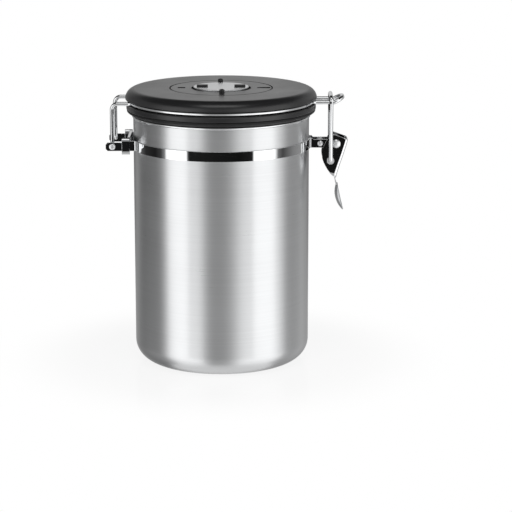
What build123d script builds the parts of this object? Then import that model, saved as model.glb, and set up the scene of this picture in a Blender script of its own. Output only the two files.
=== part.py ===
from build123d import *
import os
from math import cos, radians, sin, sqrt

# Coffee canister: a steel vessel, a hinged plastic lid held by wires, a latch, a date dial and a gas valve.
# Lengths are in millimetres. The origin is the centre of the base, +Z is up.
# The hinge is on the -X side, the latch on the +X side, and the front faces -Y.

# Vessel
body_radius = 60.0
body_wall = 0.8
base_fillet = 14.0
rim_height = 171.4
bead_radius = 0.9
bead_stand_out = 0.8

# Clamp band in two halves, with hinge flanges on the left and latch arms on the right
band_drop = 22.9
band_width = 6.8
band_thickness = 0.8
band_fit = 0.05
flange_width = 5.8
flange_half_gap = 18.0
flange_bend = 1.3
hinge_stand_off = 13.5
flange_overhang = 4.4
flange_corner = 1.3
arm_half_gap = 4.8
arm_bend = 1.3
arm_step = 1.6
rivet_stand_off = 7.7
pivot_stand_off = 18.5

# Tie clip crimped round the two flanges beside the vessel
clip_stand_off = 1.7
clip_length = 5.3
clip_wall = 0.9
clip_slack = 0.05
clip_head_rise = 2.9
clip_foot_drop = 2.6
clip_web = 1.8
clip_web_taper = 3.0
clip_web_corner = 2.0

# Rivets and the sleeves between the arms
rivet_radius = 1.4
rivet_head_radius = 2.0
rivet_head_height = 0.9
pivot_radius = 1.6
pivot_head_radius = 2.9
pivot_head_height = 1.2
sleeve_wall = 0.8
running_fit = 0.05
seat_fit = 0.02

# Lid, from the gasket up
gasket_gap = 0.3
gasket_height = 3.5
gasket_inset = 0.3
gasket_foot_step = 1.2
gasket_lip_gap = 2.2
gasket_side_height = 1.5
gasket_shoulder = 1.2
gasket_lip_wall = 1.3
gasket_lip_depth = 1.8
gasket_edge = 0.5
lid_overhang = 4.6
lid_flange_height = 3.6
lid_flange_edge = 0.7
plug_depth = 7.6
plug_edge = 1.5
base_wall = 2.0
base_step = 3.2
groove_height = 3.0
groove_depth = 4.2
groove_wall = 2.4
cap_height = 7.2
cap_overhang = 0.7
cap_round = 6.7
cap_foot_step = 1.8
cap_wall = 2.0
cap_foot_rise = 0.4

# Lid wire
wire_radius = 1.4
wire_slack = 0.15
hoop_bend = 4.0
hinge_leg_inset = 2.0
hinge_leg_bend = 4.0
elbow_bend = 1.8
loop_inset = 3.7
loop_bend_past_bail = 2.4
loop_ramp_length = 0.5
loop_tilt = 28.0
loop_bend = 1.9
loop_corner = 5.6
wire_head_radius = 2.1
wire_head_height = 0.9

# Date dial in the lid's well
dial_gap = 0.8
dial_layer_gap = 0.2
well_radius = 35.3
well_depth = 4.4
well_wall = 1.6
plate_thickness = 0.5
ring_inner_radius = 20.3
ring_thickness = 2.6
ring_ledge = 2.4
ring_ledge_height = 1.1
month_flange_past_ring = 1.9
month_flange_height = 0.8
disc_gap = 1.4
disc_thickness = 0.6
disc_rise = 0.9
disc_edge = 0.35
grip_inset = 6.1
grip_length = 7.5
grip_width = 4.2
grip_height = 1.2
grip_edge = 0.5
peg_inset = 4.2
peg_turn = 2.0
peg_radius = 1.8
peg_height = 2.6
peg_stem_radius = 1.2
peg_stem_depth = 1.8
peg_dish_radius = 0.9
peg_dish_depth = 0.6
window_shift = 1.2
window_length = 9.0
window_inner_width = 3.6
window_outer_width = 6.0
mark_shift = 0.8
mark_length = 5.2
mark_width = 4.6
mark_depth = 0.8
axle_radius = 1.8
axle_head_radius = 3.6
axle_head_height = 1.4
axle_bite = 1.6

# Gas valve in the lid's plug
valve_radius = 9.0
valve_flange_radius = 12.5
valve_flange_height = 1.2
valve_barrel_height = 5.6
valve_wall = 1.2
seat_height = 1.0
vent_radius = 1.0
vent_reach = 4.4
vent_count = 6
filter_height = 0.8
filter_gap = 0.1
diaphragm_radius = 6.6
diaphragm_height = 0.6
diaphragm_lift = 0.6
diaphragm_side_gap = 0.35
valve_cap_height = 0.9
pan_vent_radius = 1.0
pan_vent_reach = 14.0
pan_vent_count = 4

# Lid screws
screw_count = 4
screw_radius = 1.45
screw_head_radius = 2.8
screw_head_height = 1.7
screw_sink = 0.3
screw_length = 12.0
boss_radius = 4.2
cross_width = 0.9
cross_depth = 0.8

# Latch lever
lever_play = 0.3
lever_sheet = 0.8
lever_corner = 1.2
tab_lean = 12.5
tab_length = 19.8
tab_axis = 3.54
tab_sheet = 0.8
tab_depth = 3.0
neck_width = 5.4
neck_length = 3.4
neck_bite = 1.6
lever_drop = 25.0
cheek_shares = [
    (-0.112, 0.272),
    (0.332, 0.116),
    (0.240, -0.188),
    (0.077, -0.652),
    (-0.008, -0.980),
    (-0.132, -0.868),
    (-0.304, -0.588),
    (-0.392, -0.300),
    (-0.336, -0.064),
    (-0.224, 0.170),
]
# Radii of the cheek's corners, as shares of lever_corner, for the same corners
corner_shares = [1, 1, 4, 4, 0, 1.5, 4, 4, 4, 2]

# Bail wire
bail_eye_set_back = 3.8
bail_eye_drop = 11.7
bail_foot_gap = 2.7
bail_splay = 2.8
bail_gap = 0.8
bail_corner = 2.6
bail_pin_reach = 1.0
washer_radius = 2.5
washer_height = 0.8

# A cut runs this far past the faces that it opens
overrun = 1.0

# Places and heights that follow from the sizes above
hinge_reach = body_radius + hinge_stand_off
rivet_reach = body_radius + rivet_stand_off
pivot_reach = body_radius + pivot_stand_off
clip_reach = body_radius + clip_stand_off
bail_eye_reach = pivot_reach - bail_eye_set_back
lever_inner_half = arm_half_gap + band_thickness + lever_play
lever_outer_half = lever_inner_half + lever_sheet
bail_pin_end = lever_inner_half - bail_pin_reach
bail_foot_half = lever_outer_half + bail_foot_gap
bail_top_half = bail_foot_half + bail_splay
hinge_leg_half = flange_half_gap - hinge_leg_inset
loop_half = bail_top_half - loop_inset
loop_bend_reach = bail_eye_reach + loop_bend_past_bail
lid_flange_radius = body_radius + lid_overhang
cap_radius = lid_flange_radius + cap_overhang
cap_foot_radius = cap_radius - cap_foot_step
gasket_top_radius = lid_flange_radius - gasket_inset
gasket_foot_radius = body_radius + gasket_foot_step
gasket_lip_radius = body_radius - body_wall - gasket_lip_gap
ring_middle = (well_radius + ring_inner_radius) / 2
peg_reach = ring_inner_radius + peg_inset
window_reach = ring_middle + window_shift
mark_reach = ring_middle - mark_shift
month_flange_radius = ring_middle + month_flange_past_ring
disc_radius = ring_inner_radius - disc_gap
grip_reach = disc_radius - grip_inset
band_bottom = rim_height - band_drop
flange_middle = band_bottom + flange_width / 2
hinge_height = flange_middle
pivot_height = flange_middle
band_inner = body_radius + band_fit
band_outer = band_inner + band_thickness
gasket_bottom = rim_height + gasket_gap
flange_bottom = gasket_bottom + gasket_height
groove_bottom = flange_bottom + lid_flange_height
groove_top = groove_bottom + groove_height
lid_top = groove_top + cap_height
groove_radius = lid_flange_radius - groove_depth
plug_radius = gasket_lip_radius - gasket_lip_wall
screw_reach = (well_radius + well_wall + plug_radius - base_wall) / 2
plug_bottom = flange_bottom - plug_depth
plug_floor = plug_bottom + base_wall
hoop_radius = groove_radius + wire_slack + wire_radius
wire_height = (groove_bottom + groove_top) / 2
well_floor = lid_top - well_depth
well_under = well_floor - well_wall
plate_top = well_floor + plate_thickness
month_flange_bottom = plate_top + dial_layer_gap
month_flange_top = month_flange_bottom + month_flange_height
ring_bottom = lid_top - ring_thickness
ledge_top = ring_bottom + ring_ledge_height
ledge_radius = ring_inner_radius - ring_ledge
hub_radius = ledge_radius - dial_gap
disc_top = lid_top + disc_rise
hub_top = disc_top - disc_thickness
disc_foot = ledge_top + dial_layer_gap
bail_top = wire_height + 2 * wire_radius + bail_gap
flange_step = band_width - flange_width
bail_eye_height = pivot_height - bail_eye_drop
seat_bottom = plug_bottom + filter_height + 2 * filter_gap
seat_top = seat_bottom + seat_height
valve_top = plug_bottom + valve_barrel_height


def turned(points, rounds=()):
    """Solid of revolution about Z. rounds pairs a corner's number with its radius."""
    face = make_face(Polyline(*points, close=True))
    for corner, radius in rounds:
        nearest = face.vertices().sort_by_distance(points[corner])[0]
        face = fillet(nearest, radius)
    return revolve(Plane.XZ * face, Axis.Z)


def disc(radius, bottom, top, x=0, y=0):
    """Upright cylinder between two heights."""
    return Pos(x, y, bottom) * Cylinder(radius, top - bottom, align=(Align.CENTER, Align.CENTER, Align.MIN))


def tube(inner, outer, bottom, top):
    """Upright ring between two heights."""
    return disc(outer, bottom, top) - disc(inner, bottom - overrun, top + overrun)


def block(low, high):
    """Box between two corners."""
    size = [b - a for a, b in zip(low, high)]
    return Pos(*low) * Box(*size, align=(Align.MIN, Align.MIN, Align.MIN))


def rod(radius, x, z, y_from, y_to):
    """Cylinder along Y between two places."""
    return Pos(x, y_to, z) * Rot(90, 0, 0) * Cylinder(
        radius, y_to - y_from, align=(Align.CENTER, Align.CENTER, Align.MIN)
    )


def upright_slab(points, y_from, y_to, rounds=()):
    """Outline in the XZ plane, thickened along Y."""
    face = make_face(Polyline(*points, close=True))
    for corner, radius in rounds:
        nearest = face.vertices().sort_by_distance(points[corner])[0]
        face = fillet(nearest, radius)
    return extrude(Plane.XZ.offset(-y_to) * face, y_to - y_from)


def domed_head(radius, height, x, z, y_face, side):
    """Shallow dome that stands out of a face across Y; side is -1 for the front and 1 for the rear."""
    ball = (radius * radius + height * height) / (2 * height)
    centre = y_face + side * (height - ball)
    bound = rod(radius, x, z, min(y_face, y_face + side * height), max(y_face, y_face + side * height))
    return bound & Pos(x, centre, z) * Sphere(ball)


def make_vessel():
    """Drawn steel body with a rounded foot and a rolled rim."""
    inner = body_radius - body_wall
    wall_top = rim_height - bead_radius
    profile = [
        (0, 0),
        (body_radius, 0),
        (body_radius, wall_top),
        (inner, wall_top),
        (inner, body_wall),
        (0, body_wall),
    ]
    shell = turned(profile, [(1, base_fillet), (4, base_fillet - body_wall)])
    bead = Pos(0, 0, wall_top) * Torus(body_radius + bead_stand_out - bead_radius, bead_radius)
    return shell + bead


def make_band_half(side):
    """Half of the clamp band; side is -1 for the front half and 1 for the rear half."""
    far = hinge_reach + flange_overhang
    arm_end = pivot_reach + flange_width / 2
    ring = Circle(band_outer) - Circle(band_inner)
    left = Pos(-far / 2, -flange_half_gap - far / 2) * Rectangle(far, far)
    right = Pos(far / 2, -arm_half_gap - far / 2) * Rectangle(far, far)
    ring = ring & (left + right)
    flange_start = sqrt(band_inner**2 - flange_half_gap**2)
    arm_start = sqrt(band_inner**2 - arm_half_gap**2)
    flange_outer = flange_half_gap + band_thickness
    arm_outer = arm_half_gap + band_thickness
    flange_mid = (flange_half_gap + flange_outer) / 2
    arm_mid = (arm_half_gap + arm_outer) / 2
    flange = Pos(-(far + flange_start) / 2, -flange_mid) * Rectangle(far - flange_start, band_thickness)
    arm = Pos((arm_end + arm_start) / 2, -arm_mid) * Rectangle(arm_end - arm_start, band_thickness)
    plan = ring + flange + arm
    bends = [
        ((-sqrt(band_outer**2 - flange_outer**2), -flange_outer), flange_bend),
        ((-flange_start, -flange_half_gap), flange_bend + band_thickness),
        ((sqrt(band_outer**2 - arm_outer**2), -arm_outer), arm_bend),
        ((arm_start, -arm_half_gap), arm_bend + band_thickness),
    ]
    for place, radius in bends:
        nearest = plan.vertices().sort_by_distance(place)[0]
        plan = fillet(nearest, radius)
    half = extrude(Pos(0, 0, band_bottom) * plan, band_width)
    flange_top = band_bottom + flange_width
    above = band_bottom + band_width + overrun
    step = band_outer + arm_step
    half -= block((-far - overrun, -far, flange_top), (-step, 0, above))
    half -= block((step, -far, flange_top), (arm_end + overrun, 0, above))
    corners = [e for e in half.edges().filter_by(Axis.Y) if abs(e.center().X + far) < flange_corner / 2]
    half = chamfer(corners, flange_corner)
    half -= disc_ends(arm_end)
    hole = wire_radius + running_fit
    half -= rod(hole, -hinge_reach, hinge_height, -flange_outer - overrun, -flange_half_gap + overrun)
    hole_from = -arm_outer - overrun
    hole_to = -arm_half_gap + overrun
    half -= rod(rivet_radius + seat_fit, rivet_reach, flange_middle, hole_from, hole_to)
    half -= rod(pivot_radius + running_fit, pivot_reach, pivot_height, hole_from, hole_to)
    if side > 0:
        half = mirror(half, Plane.XZ)
    return half


def disc_ends(arm_end):
    """What is cut from an arm's end to leave it round about the lever's pivot."""
    radius = flange_width / 2
    corner = block(
        (pivot_reach, -arm_half_gap - band_thickness - overrun, band_bottom - overrun),
        (arm_end + overrun, -arm_half_gap + overrun, band_bottom + flange_width + overrun),
    )
    keep = rod(
        radius,
        pivot_reach,
        pivot_height,
        -arm_half_gap - band_thickness - 2 * overrun,
        -arm_half_gap + 2 * overrun,
    )
    return corner - keep


def oval(middle, half, low, high, foot, head):
    """Upright oval in the YZ plane: a straight middle with half an ellipse at its foot and its head."""
    face = Pos(middle, (low + high) / 2) * Rectangle(2 * half, high - low)
    face += Pos(middle, low) * Ellipse(half, foot)
    return face + Pos(middle, high) * Ellipse(half, head)


def make_hinge_bridge():
    """Tie clip: an oval sleeve crimped round each flange, joined by an upright web beside the vessel."""
    near = -clip_reach
    low = band_bottom
    high = band_bottom + band_width
    middle = flange_half_gap + band_thickness / 2
    inner = band_thickness / 2 + clip_slack
    outer = inner + clip_wall
    sleeve = oval(-middle, outer, low, high, clip_foot_drop, clip_head_rise - flange_step)
    inner_foot = clip_foot_drop - clip_wall
    inner_head = clip_head_rise - flange_step - clip_wall
    sleeve -= oval(-middle, inner, low, high, inner_foot, inner_head)
    sleeve = extrude(Plane.YZ.offset(near - clip_length) * sleeve, clip_length)
    half = middle - inner - clip_wall / 2
    web_high = band_bottom + flange_width + clip_head_rise
    outline = [
        (-half, low),
        (-half, web_high - clip_web_corner),
        (-half + clip_web_taper, web_high),
        (half - clip_web_taper, web_high),
        (half, web_high - clip_web_corner),
        (half, low),
    ]
    face = make_face(Polyline(*outline, close=True))
    web = extrude(Plane.YZ.offset(near - clip_web) * face, clip_web)
    return sleeve + web + mirror(sleeve, Plane.XZ)


def make_rivet(radius, head_radius, head_height, reach, height, half):
    """Rivet across the arms with a domed head at each side."""
    rivet = rod(radius, reach, height, -half, half)
    for side in (-1, 1):
        rivet += domed_head(head_radius, head_height, reach, height, side * half, side)
    return rivet


def make_sleeve(radius, reach, height):
    """Spacer sleeve between the two arms."""
    half = arm_half_gap
    outer = rod(radius + running_fit + sleeve_wall, reach, height, -half, half)
    return outer - rod(radius + running_fit, reach, height, -half - overrun, half + overrun)


def make_lid_cap():
    """Domed-edge cap with a well for the dial and bosses for the screws."""
    well_outer = well_radius + well_wall
    inner_round = cap_round - cap_wall
    ceiling = lid_top - cap_wall
    wall_inner = groove_radius - groove_wall
    cap = turned(
        [
            (0, well_floor),
            (well_radius, well_floor),
            (well_radius, lid_top),
            (cap_radius, lid_top),
            (cap_radius, groove_top + cap_foot_rise),
            (cap_foot_radius, groove_top),
            (wall_inner, groove_top),
            (cap_radius - cap_wall - inner_round, ceiling),
            (well_outer, ceiling),
            (well_outer, well_under),
            (0, well_under),
        ],
        [(3, cap_round)],
    )
    cap -= disc(axle_radius + running_fit, well_under - overrun, well_floor + overrun)
    for place in PolarLocations(pan_vent_reach, pan_vent_count):
        cap -= place * disc(pan_vent_radius, well_under - overrun, well_floor + overrun)
    foot = plug_floor + base_step
    for place in PolarLocations(screw_reach, screw_count, start_angle=180 / screw_count):
        cap += place * disc(boss_radius, foot, ceiling)
        cap -= place * disc(screw_radius + seat_fit, foot - overrun, foot + screw_length)
    return cap


def make_lid_base():
    """Lower half of the lid: flange, wire groove and the plug that enters the vessel."""
    wall_inner = groove_radius - groove_wall
    plug_inner = plug_radius - base_wall
    base = turned(
        [
            (0, plug_bottom),
            (plug_radius, plug_bottom),
            (plug_radius, flange_bottom),
            (lid_flange_radius, flange_bottom),
            (lid_flange_radius, groove_bottom),
            (groove_radius, groove_bottom),
            (groove_radius, groove_top),
            (wall_inner, groove_top),
            (wall_inner, flange_bottom + base_wall),
            (plug_inner, flange_bottom + base_wall),
            (plug_inner, plug_floor),
            (0, plug_floor),
        ],
        [(1, plug_edge), (3, gasket_edge), (4, lid_flange_edge)],
    )
    for place in PolarLocations(screw_reach, screw_count, start_angle=180 / screw_count):
        base += place * disc(boss_radius, plug_floor, plug_floor + base_step)
        bore_top = plug_floor + base_step + overrun
        base -= place * disc(screw_radius + running_fit, plug_bottom - overrun, bore_top)
        base -= place * disc(
            screw_head_radius + dial_gap, plug_bottom - overrun, plug_bottom + screw_sink + screw_head_height
        )
    base -= disc(valve_radius + running_fit, plug_bottom - overrun, plug_floor + overrun)
    return base


def make_gasket():
    """Silicone ring under the flange, with a lip that enters the vessel."""
    lip_bottom = gasket_bottom - gasket_lip_depth
    return turned(
        [
            (plug_radius, flange_bottom),
            (gasket_top_radius, flange_bottom),
            (gasket_top_radius, flange_bottom - gasket_side_height),
            (gasket_foot_radius, gasket_bottom),
            (gasket_lip_radius, gasket_bottom),
            (gasket_lip_radius, lip_bottom),
            (plug_radius, lip_bottom),
        ],
        [(1, gasket_edge), (2, gasket_shoulder), (3, gasket_edge), (5, gasket_edge)],
    )


def hoop_line():
    """Front half of the lid wire: hinge pin, leg, hoop round the lid and half of the latch loop."""
    reach = hoop_radius + hoop_bend
    left_x = -sqrt(reach**2 - (hinge_leg_half + hoop_bend) ** 2)
    left_y = -(hinge_leg_half + hoop_bend)
    right_x = sqrt(reach**2 - (loop_half + hoop_bend) ** 2)
    right_y = -(loop_half + hoop_bend)
    share = hoop_radius / reach
    pin_end = -flange_half_gap - band_thickness - running_fit - wire_head_height / 2
    leg_top = Vector(-hinge_reach, -hinge_leg_half, wire_height)
    leg = FilletPolyline(
        (-hinge_reach, pin_end, hinge_height),
        (-hinge_reach, -hinge_leg_half, hinge_height),
        leg_top,
        (left_x, -hinge_leg_half, wire_height),
        radius=[elbow_bend, hinge_leg_bend],
    )
    left_bend = ThreePointArc(
        (left_x, -hinge_leg_half, wire_height),
        bend_middle(left_x, left_y, 0, 1, share),
        (left_x * share, left_y * share, wire_height),
    )
    hoop = ThreePointArc(
        (left_x * share, left_y * share, wire_height),
        (0, -hoop_radius, wire_height),
        (right_x * share, right_y * share, wire_height),
    )
    right_bend = ThreePointArc(
        (right_x * share, right_y * share, wire_height),
        bend_middle(right_x, right_y, 0, 1, share),
        (right_x, -loop_half, wire_height),
    )
    rise = sin(radians(loop_tilt))
    run = cos(radians(loop_tilt))
    arc_x = loop_bend_reach + loop_ramp_length * run
    arc_start = Vector(arc_x, -loop_half, wire_height + loop_ramp_length * rise)
    arm = FilletPolyline(
        (right_x, -loop_half, wire_height),
        (loop_bend_reach, -loop_half, wire_height),
        arc_start,
        radius=[loop_bend],
    )
    part = loop_corner * sqrt(2) / 2
    cross_start = arc_start + Vector(loop_corner * run, loop_corner, loop_corner * rise)
    end = ThreePointArc(
        arc_start,
        arc_start + Vector(part * run, loop_corner - part, part * rise),
        cross_start,
    )
    cross = Line(cross_start, (cross_start.X, 0, cross_start.Z))
    left = leg.edges() + left_bend.edges() + hoop.edges()
    return Wire(left + right_bend.edges() + arm.edges() + end.edges() + cross.edges())


def bend_middle(x, y, line_x, line_y, share):
    """Middle point of the bend from a straight arm to the hoop, about the bend's centre."""
    to_hoop = Vector(x * share - x, y * share - y, 0).normalized()
    to_line = Vector(line_x, line_y, 0)
    middle = (to_hoop + to_line).normalized() * hoop_bend
    return Vector(x, y, wire_height) + middle


def make_lid_wire():
    """One bent wire: both hinge legs, the hoop in the lid's groove and the upturned latch loop."""
    line = hoop_line()
    start = Plane(origin=line.position_at(0), z_dir=line.tangent_at(0))
    front = sweep(start * Circle(wire_radius), path=line)
    head_face = -flange_half_gap - band_thickness - running_fit
    front += domed_head(wire_head_radius, wire_head_height, -hinge_reach, hinge_height, head_face, -1)
    return front + mirror(front, Plane.XZ)


def make_screws():
    """Self-tapping screws that hold the two halves of the lid together, driven from below."""
    screws = []
    head_bottom = plug_bottom + screw_sink
    head_top = head_bottom + screw_head_height
    for place in PolarLocations(screw_reach, screw_count, start_angle=180 / screw_count):
        screw = disc(screw_head_radius, head_bottom, head_top)
        screw += disc(screw_radius, head_top, head_bottom + screw_length)
        for long_way in (True, False):
            half = (screw_head_radius * 2 / 3, cross_width / 2)
            x, y = half if long_way else half[::-1]
            screw -= block((-x, -y, head_bottom - overrun), (x, y, head_bottom + cross_depth))
        screws.append(place * screw)
    return Compound(children=screws)


def make_number_plate():
    """Printed ring in the well that carries the day numbers."""
    return tube(month_flange_radius - window_length, well_radius - dial_gap, well_floor, plate_top)


def dial_window():
    """Window that widens outwards, where the day and the month are read."""
    near = window_reach - window_length / 2
    far = window_reach + window_length / 2
    outline = [
        (near, -window_inner_width / 2),
        (far, -window_outer_width / 2),
        (far, window_outer_width / 2),
        (near, window_inner_width / 2),
    ]
    face = make_face(Polyline(*outline, close=True))
    face = fillet(face.vertices(), grip_edge)
    return extrude(Pos(0, 0, ring_bottom - overrun) * face, ring_thickness + 2 * overrun)


def peg_places():
    """Centres of the two pegs, across the ring from each other."""
    turn = radians(peg_turn)
    x = -peg_reach * sin(turn)
    y = peg_reach * cos(turn)
    return [(x, y), (-x, -y)]


def make_day_ring():
    """Outer ring of the dial, turned by its pegs and held down by the centre disc."""
    ring = turned(
        [
            (ledge_radius, ring_bottom),
            (well_radius - dial_gap, ring_bottom),
            (well_radius - dial_gap, lid_top),
            (ring_inner_radius, lid_top),
            (ring_inner_radius, ledge_top),
            (ledge_radius, ledge_top),
        ],
        [(2, disc_edge), (3, disc_edge)],
    )
    ring -= dial_window()
    near = -mark_reach - mark_length / 2
    ring -= block(
        (near, -mark_width / 2, lid_top - mark_depth), (near + mark_length, mark_width / 2, lid_top + overrun)
    )
    for x, y in peg_places():
        ring -= disc(peg_stem_radius, lid_top - peg_stem_depth, lid_top + overrun, x, y)
    return ring


def make_ring_pegs():
    """Two rounded finger pegs with dished tops, pressed into the day ring."""
    pegs = []
    top = lid_top + peg_height
    for x, y in peg_places():
        stem = disc(peg_stem_radius - seat_fit, lid_top - peg_stem_depth, lid_top, x, y)
        post = disc(peg_radius, lid_top, top, x, y)
        rim = post.faces().sort_by(Axis.Z)[-1].edges()
        post = fillet(rim, peg_radius / 2)
        post -= disc(peg_dish_radius, top - peg_dish_depth, top + overrun, x, y)
        pegs.append(stem + post)
    return Compound(children=pegs)


def grip_block(slack, bottom, top):
    """Upright block of a finger grip, with slack all round for its slot."""
    face = RectangleRounded(grip_length + 2 * slack, grip_width + 2 * slack, grip_edge + slack)
    return extrude(Pos(grip_reach, 0, bottom) * face, top - bottom)


def make_month_dial():
    """Month dial: a hub under the steel disc, a number flange under the day ring, and two finger grips."""
    dial = turned(
        [
            (0, month_flange_bottom),
            (month_flange_radius, month_flange_bottom),
            (month_flange_radius, month_flange_top),
            (hub_radius, month_flange_top),
            (hub_radius, disc_foot),
            (disc_radius - disc_thickness, disc_foot),
            (disc_radius - disc_thickness, hub_top),
            (0, hub_top),
        ]
    )
    for turn in (0, 180):
        grip = grip_block(0, hub_top - overrun, disc_top + grip_height)
        grip = fillet(grip.faces().sort_by(Axis.Z)[-1].edges(), grip_edge * 4 / 5)
        dial += Rot(0, 0, turn) * grip
    dial -= disc(axle_radius + seat_fit, month_flange_bottom - overrun, hub_top - axle_bite)
    return dial


def make_steel_disc():
    """Pressed steel cover over the hub, with slots for the finger grips."""
    cover = turned(
        [
            (0, hub_top),
            (disc_radius - disc_thickness, hub_top),
            (disc_radius - disc_thickness, disc_foot),
            (disc_radius, disc_foot),
            (disc_radius, disc_top),
            (0, disc_top),
        ],
        [(4, disc_edge)],
    )
    for turn in (0, 180):
        cover -= Rot(0, 0, turn) * grip_block(running_fit, hub_top - overrun, disc_top + overrun)
    return cover


def make_dial_screw():
    """Shouldered screw under the well that the month dial turns on."""
    top = hub_top - axle_bite
    head_top = well_under - dial_layer_gap
    screw = disc(axle_radius, head_top, top) + disc(axle_head_radius, head_top - axle_head_height, head_top)
    return screw - block(
        (-axle_head_radius, -cross_width / 2, head_top - axle_head_height - overrun),
        (axle_head_radius, cross_width / 2, head_top - axle_head_height + cross_depth),
    )


def make_valve_housing():
    """Valve body pressed into the plug, with its seat and vent holes."""
    inner = valve_radius - valve_wall
    body = turned(
        [
            (inner, plug_bottom - valve_flange_height),
            (valve_flange_radius, plug_bottom - valve_flange_height),
            (valve_flange_radius, plug_bottom),
            (valve_radius, plug_bottom),
            (valve_radius, valve_top),
            (inner, valve_top),
            (inner, seat_top),
            (0, seat_top),
            (0, seat_bottom),
            (inner, seat_bottom),
        ],
        [(1, gasket_edge)],
    )
    grid = disc(inner + running_fit, plug_bottom - valve_flange_height, plug_bottom)
    body += grid
    for place in PolarLocations(vent_reach, vent_count):
        body -= place * disc(vent_radius, plug_bottom - valve_flange_height - overrun, seat_top + overrun)
    return body


def make_valve_filter():
    """Felt disc below the seat that keeps coffee dust out of the valve."""
    return disc(valve_radius - valve_wall - filter_gap, plug_bottom + filter_gap, seat_bottom - filter_gap)


def make_diaphragm():
    """Silicone disc that lies on the seat and lifts to let gas out."""
    return disc(diaphragm_radius, seat_top, seat_top + diaphragm_height)


def make_valve_cap():
    """Slotted cover that keeps the diaphragm in its chamber."""
    inner = valve_radius - valve_wall
    stop = seat_top + diaphragm_height + diaphragm_lift + diaphragm_side_gap
    skirt_inner = diaphragm_radius + diaphragm_side_gap
    cap = tube(skirt_inner, inner - seat_fit, seat_top, stop)
    cap += disc(inner - seat_fit, stop, stop + valve_cap_height)
    for place in PolarLocations(vent_reach, vent_count):
        cap -= place * disc(vent_radius, stop - overrun, stop + valve_cap_height + overrun)
    return cap


def lever_outline():
    """Cheek outline seen from the front, clockwise from the top left, placed about the pivot."""
    return [(pivot_reach + lever_drop * x, pivot_height + lever_drop * z) for x, z in cheek_shares]


def make_lever():
    """Latch lever: two cheeks, the spine that joins them and a cupped finger tab below."""
    outline = lever_outline()
    rounds = [(corner, share * lever_corner) for corner, share in enumerate(corner_shares) if share]
    solid = upright_slab(outline, -lever_outer_half, lever_outer_half, rounds)
    inside = [(x - lever_sheet, z) for x, z in outline[1:5]]
    low = outline[4]
    wide = body_radius
    hollow = [
        (inside[0][0] - wide, inside[0][1] + wide),
        (inside[0][0], inside[0][1] + wide),
        *inside,
        (low[0] - wide, low[1]),
    ]
    solid -= upright_slab(hollow, -lever_inner_half, lever_inner_half)
    solid += make_tab(outline[4])
    solid -= rod(pivot_radius + running_fit, pivot_reach, pivot_height, -wide, wide)
    solid -= rod(wire_radius + running_fit, bail_eye_reach, bail_eye_height, -wide, wide)
    return solid


def make_tab(tip):
    """Cupped leaf: a thin arc turned about an axis beside the leaf and cut at the rim, with a neck above."""
    lean = radians(tab_lean)
    along = Vector(sin(lean), 0, -cos(lean))
    out = Vector(cos(lean), 0, sin(lean))
    place = Plane(origin=Vector(tip[0], 0, tip[1]), x_dir=along, z_dir=out)
    start = neck_length
    middle = start + tab_length / 2
    end = start + tab_length
    ball = (tab_length**2 / 4 + tab_depth**2) / (2 * tab_depth)
    back = tab_depth / 2
    section = Pos(middle, ball - tab_depth) * (Circle(ball) - Circle(ball - tab_sheet))
    section &= Pos(middle, -back) * Rectangle(2 * tab_length, 2 * back + tab_depth)
    bowl = revolve(Plane.XZ * section, Axis((0, 0, tab_axis), (1, 0, 0)))
    bowl &= block((start - overrun, -tab_length, -2 * tab_depth), (end + overrun, tab_length, 0))
    neck = block((-tab_sheet, -neck_width / 2, -tab_sheet), (start + neck_bite, neck_width / 2, 0))
    return place.location * (bowl + neck)


def make_bail():
    """Bail wire: two pins in the lever, two legs and the bar over the lid's loop."""
    line = FilletPolyline(
        (bail_eye_reach, -bail_pin_end, bail_eye_height),
        (bail_eye_reach, -bail_foot_half, bail_eye_height),
        (bail_eye_reach, -bail_top_half, bail_top),
        (bail_eye_reach, bail_top_half, bail_top),
        (bail_eye_reach, bail_foot_half, bail_eye_height),
        (bail_eye_reach, bail_pin_end, bail_eye_height),
        radius=[elbow_bend, bail_corner, bail_corner, elbow_bend],
    )
    start = Plane(origin=line.position_at(0), z_dir=line.tangent_at(0))
    return sweep(start * Circle(wire_radius), path=line)


def make_bail_washers():
    """Washers between the bail's elbows and the lever's cheeks."""
    washers = []
    for side in (-1, 1):
        ends = sorted((side * (lever_outer_half + running_fit), side * (lever_outer_half + washer_height)))
        ring = rod(washer_radius, bail_eye_reach, bail_eye_height, ends[0], ends[1])
        hole = wire_radius + seat_fit
        ring -= rod(hole, bail_eye_reach, bail_eye_height, ends[0] - overrun, ends[1] + overrun)
        washers.append(ring)
    return Compound(children=washers)


def build_parts():
    """Every sub-part by node name."""
    arm_half = arm_half_gap + band_thickness
    return {
        "vessel": make_vessel(),
        "band_front": make_band_half(-1),
        "band_rear": make_band_half(1),
        "hinge_bridge": make_hinge_bridge(),
        "arm_rivet": make_rivet(
            rivet_radius, rivet_head_radius, rivet_head_height, rivet_reach, flange_middle, arm_half
        ),
        "arm_spacer": make_sleeve(rivet_radius, rivet_reach, flange_middle),
        "pivot_rivet": make_rivet(
            pivot_radius, pivot_head_radius, pivot_head_height, pivot_reach, pivot_height, lever_outer_half
        ),
        "pivot_spacer": make_sleeve(pivot_radius, pivot_reach, pivot_height),
        "lid_cap": make_lid_cap(),
        "lid_base": make_lid_base(),
        "lid_gasket": make_gasket(),
        "lid_wire": make_lid_wire(),
        "lid_screws": make_screws(),
        "number_plate": make_number_plate(),
        "day_ring": make_day_ring(),
        "ring_pegs": make_ring_pegs(),
        "month_dial": make_month_dial(),
        "steel_disc": make_steel_disc(),
        "dial_screw": make_dial_screw(),
        "valve_housing": make_valve_housing(),
        "valve_filter": make_valve_filter(),
        "valve_diaphragm": make_diaphragm(),
        "valve_cap": make_valve_cap(),
        "latch_lever": make_lever(),
        "bail_wire": make_bail(),
        "bail_washers": make_bail_washers(),
    }


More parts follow.
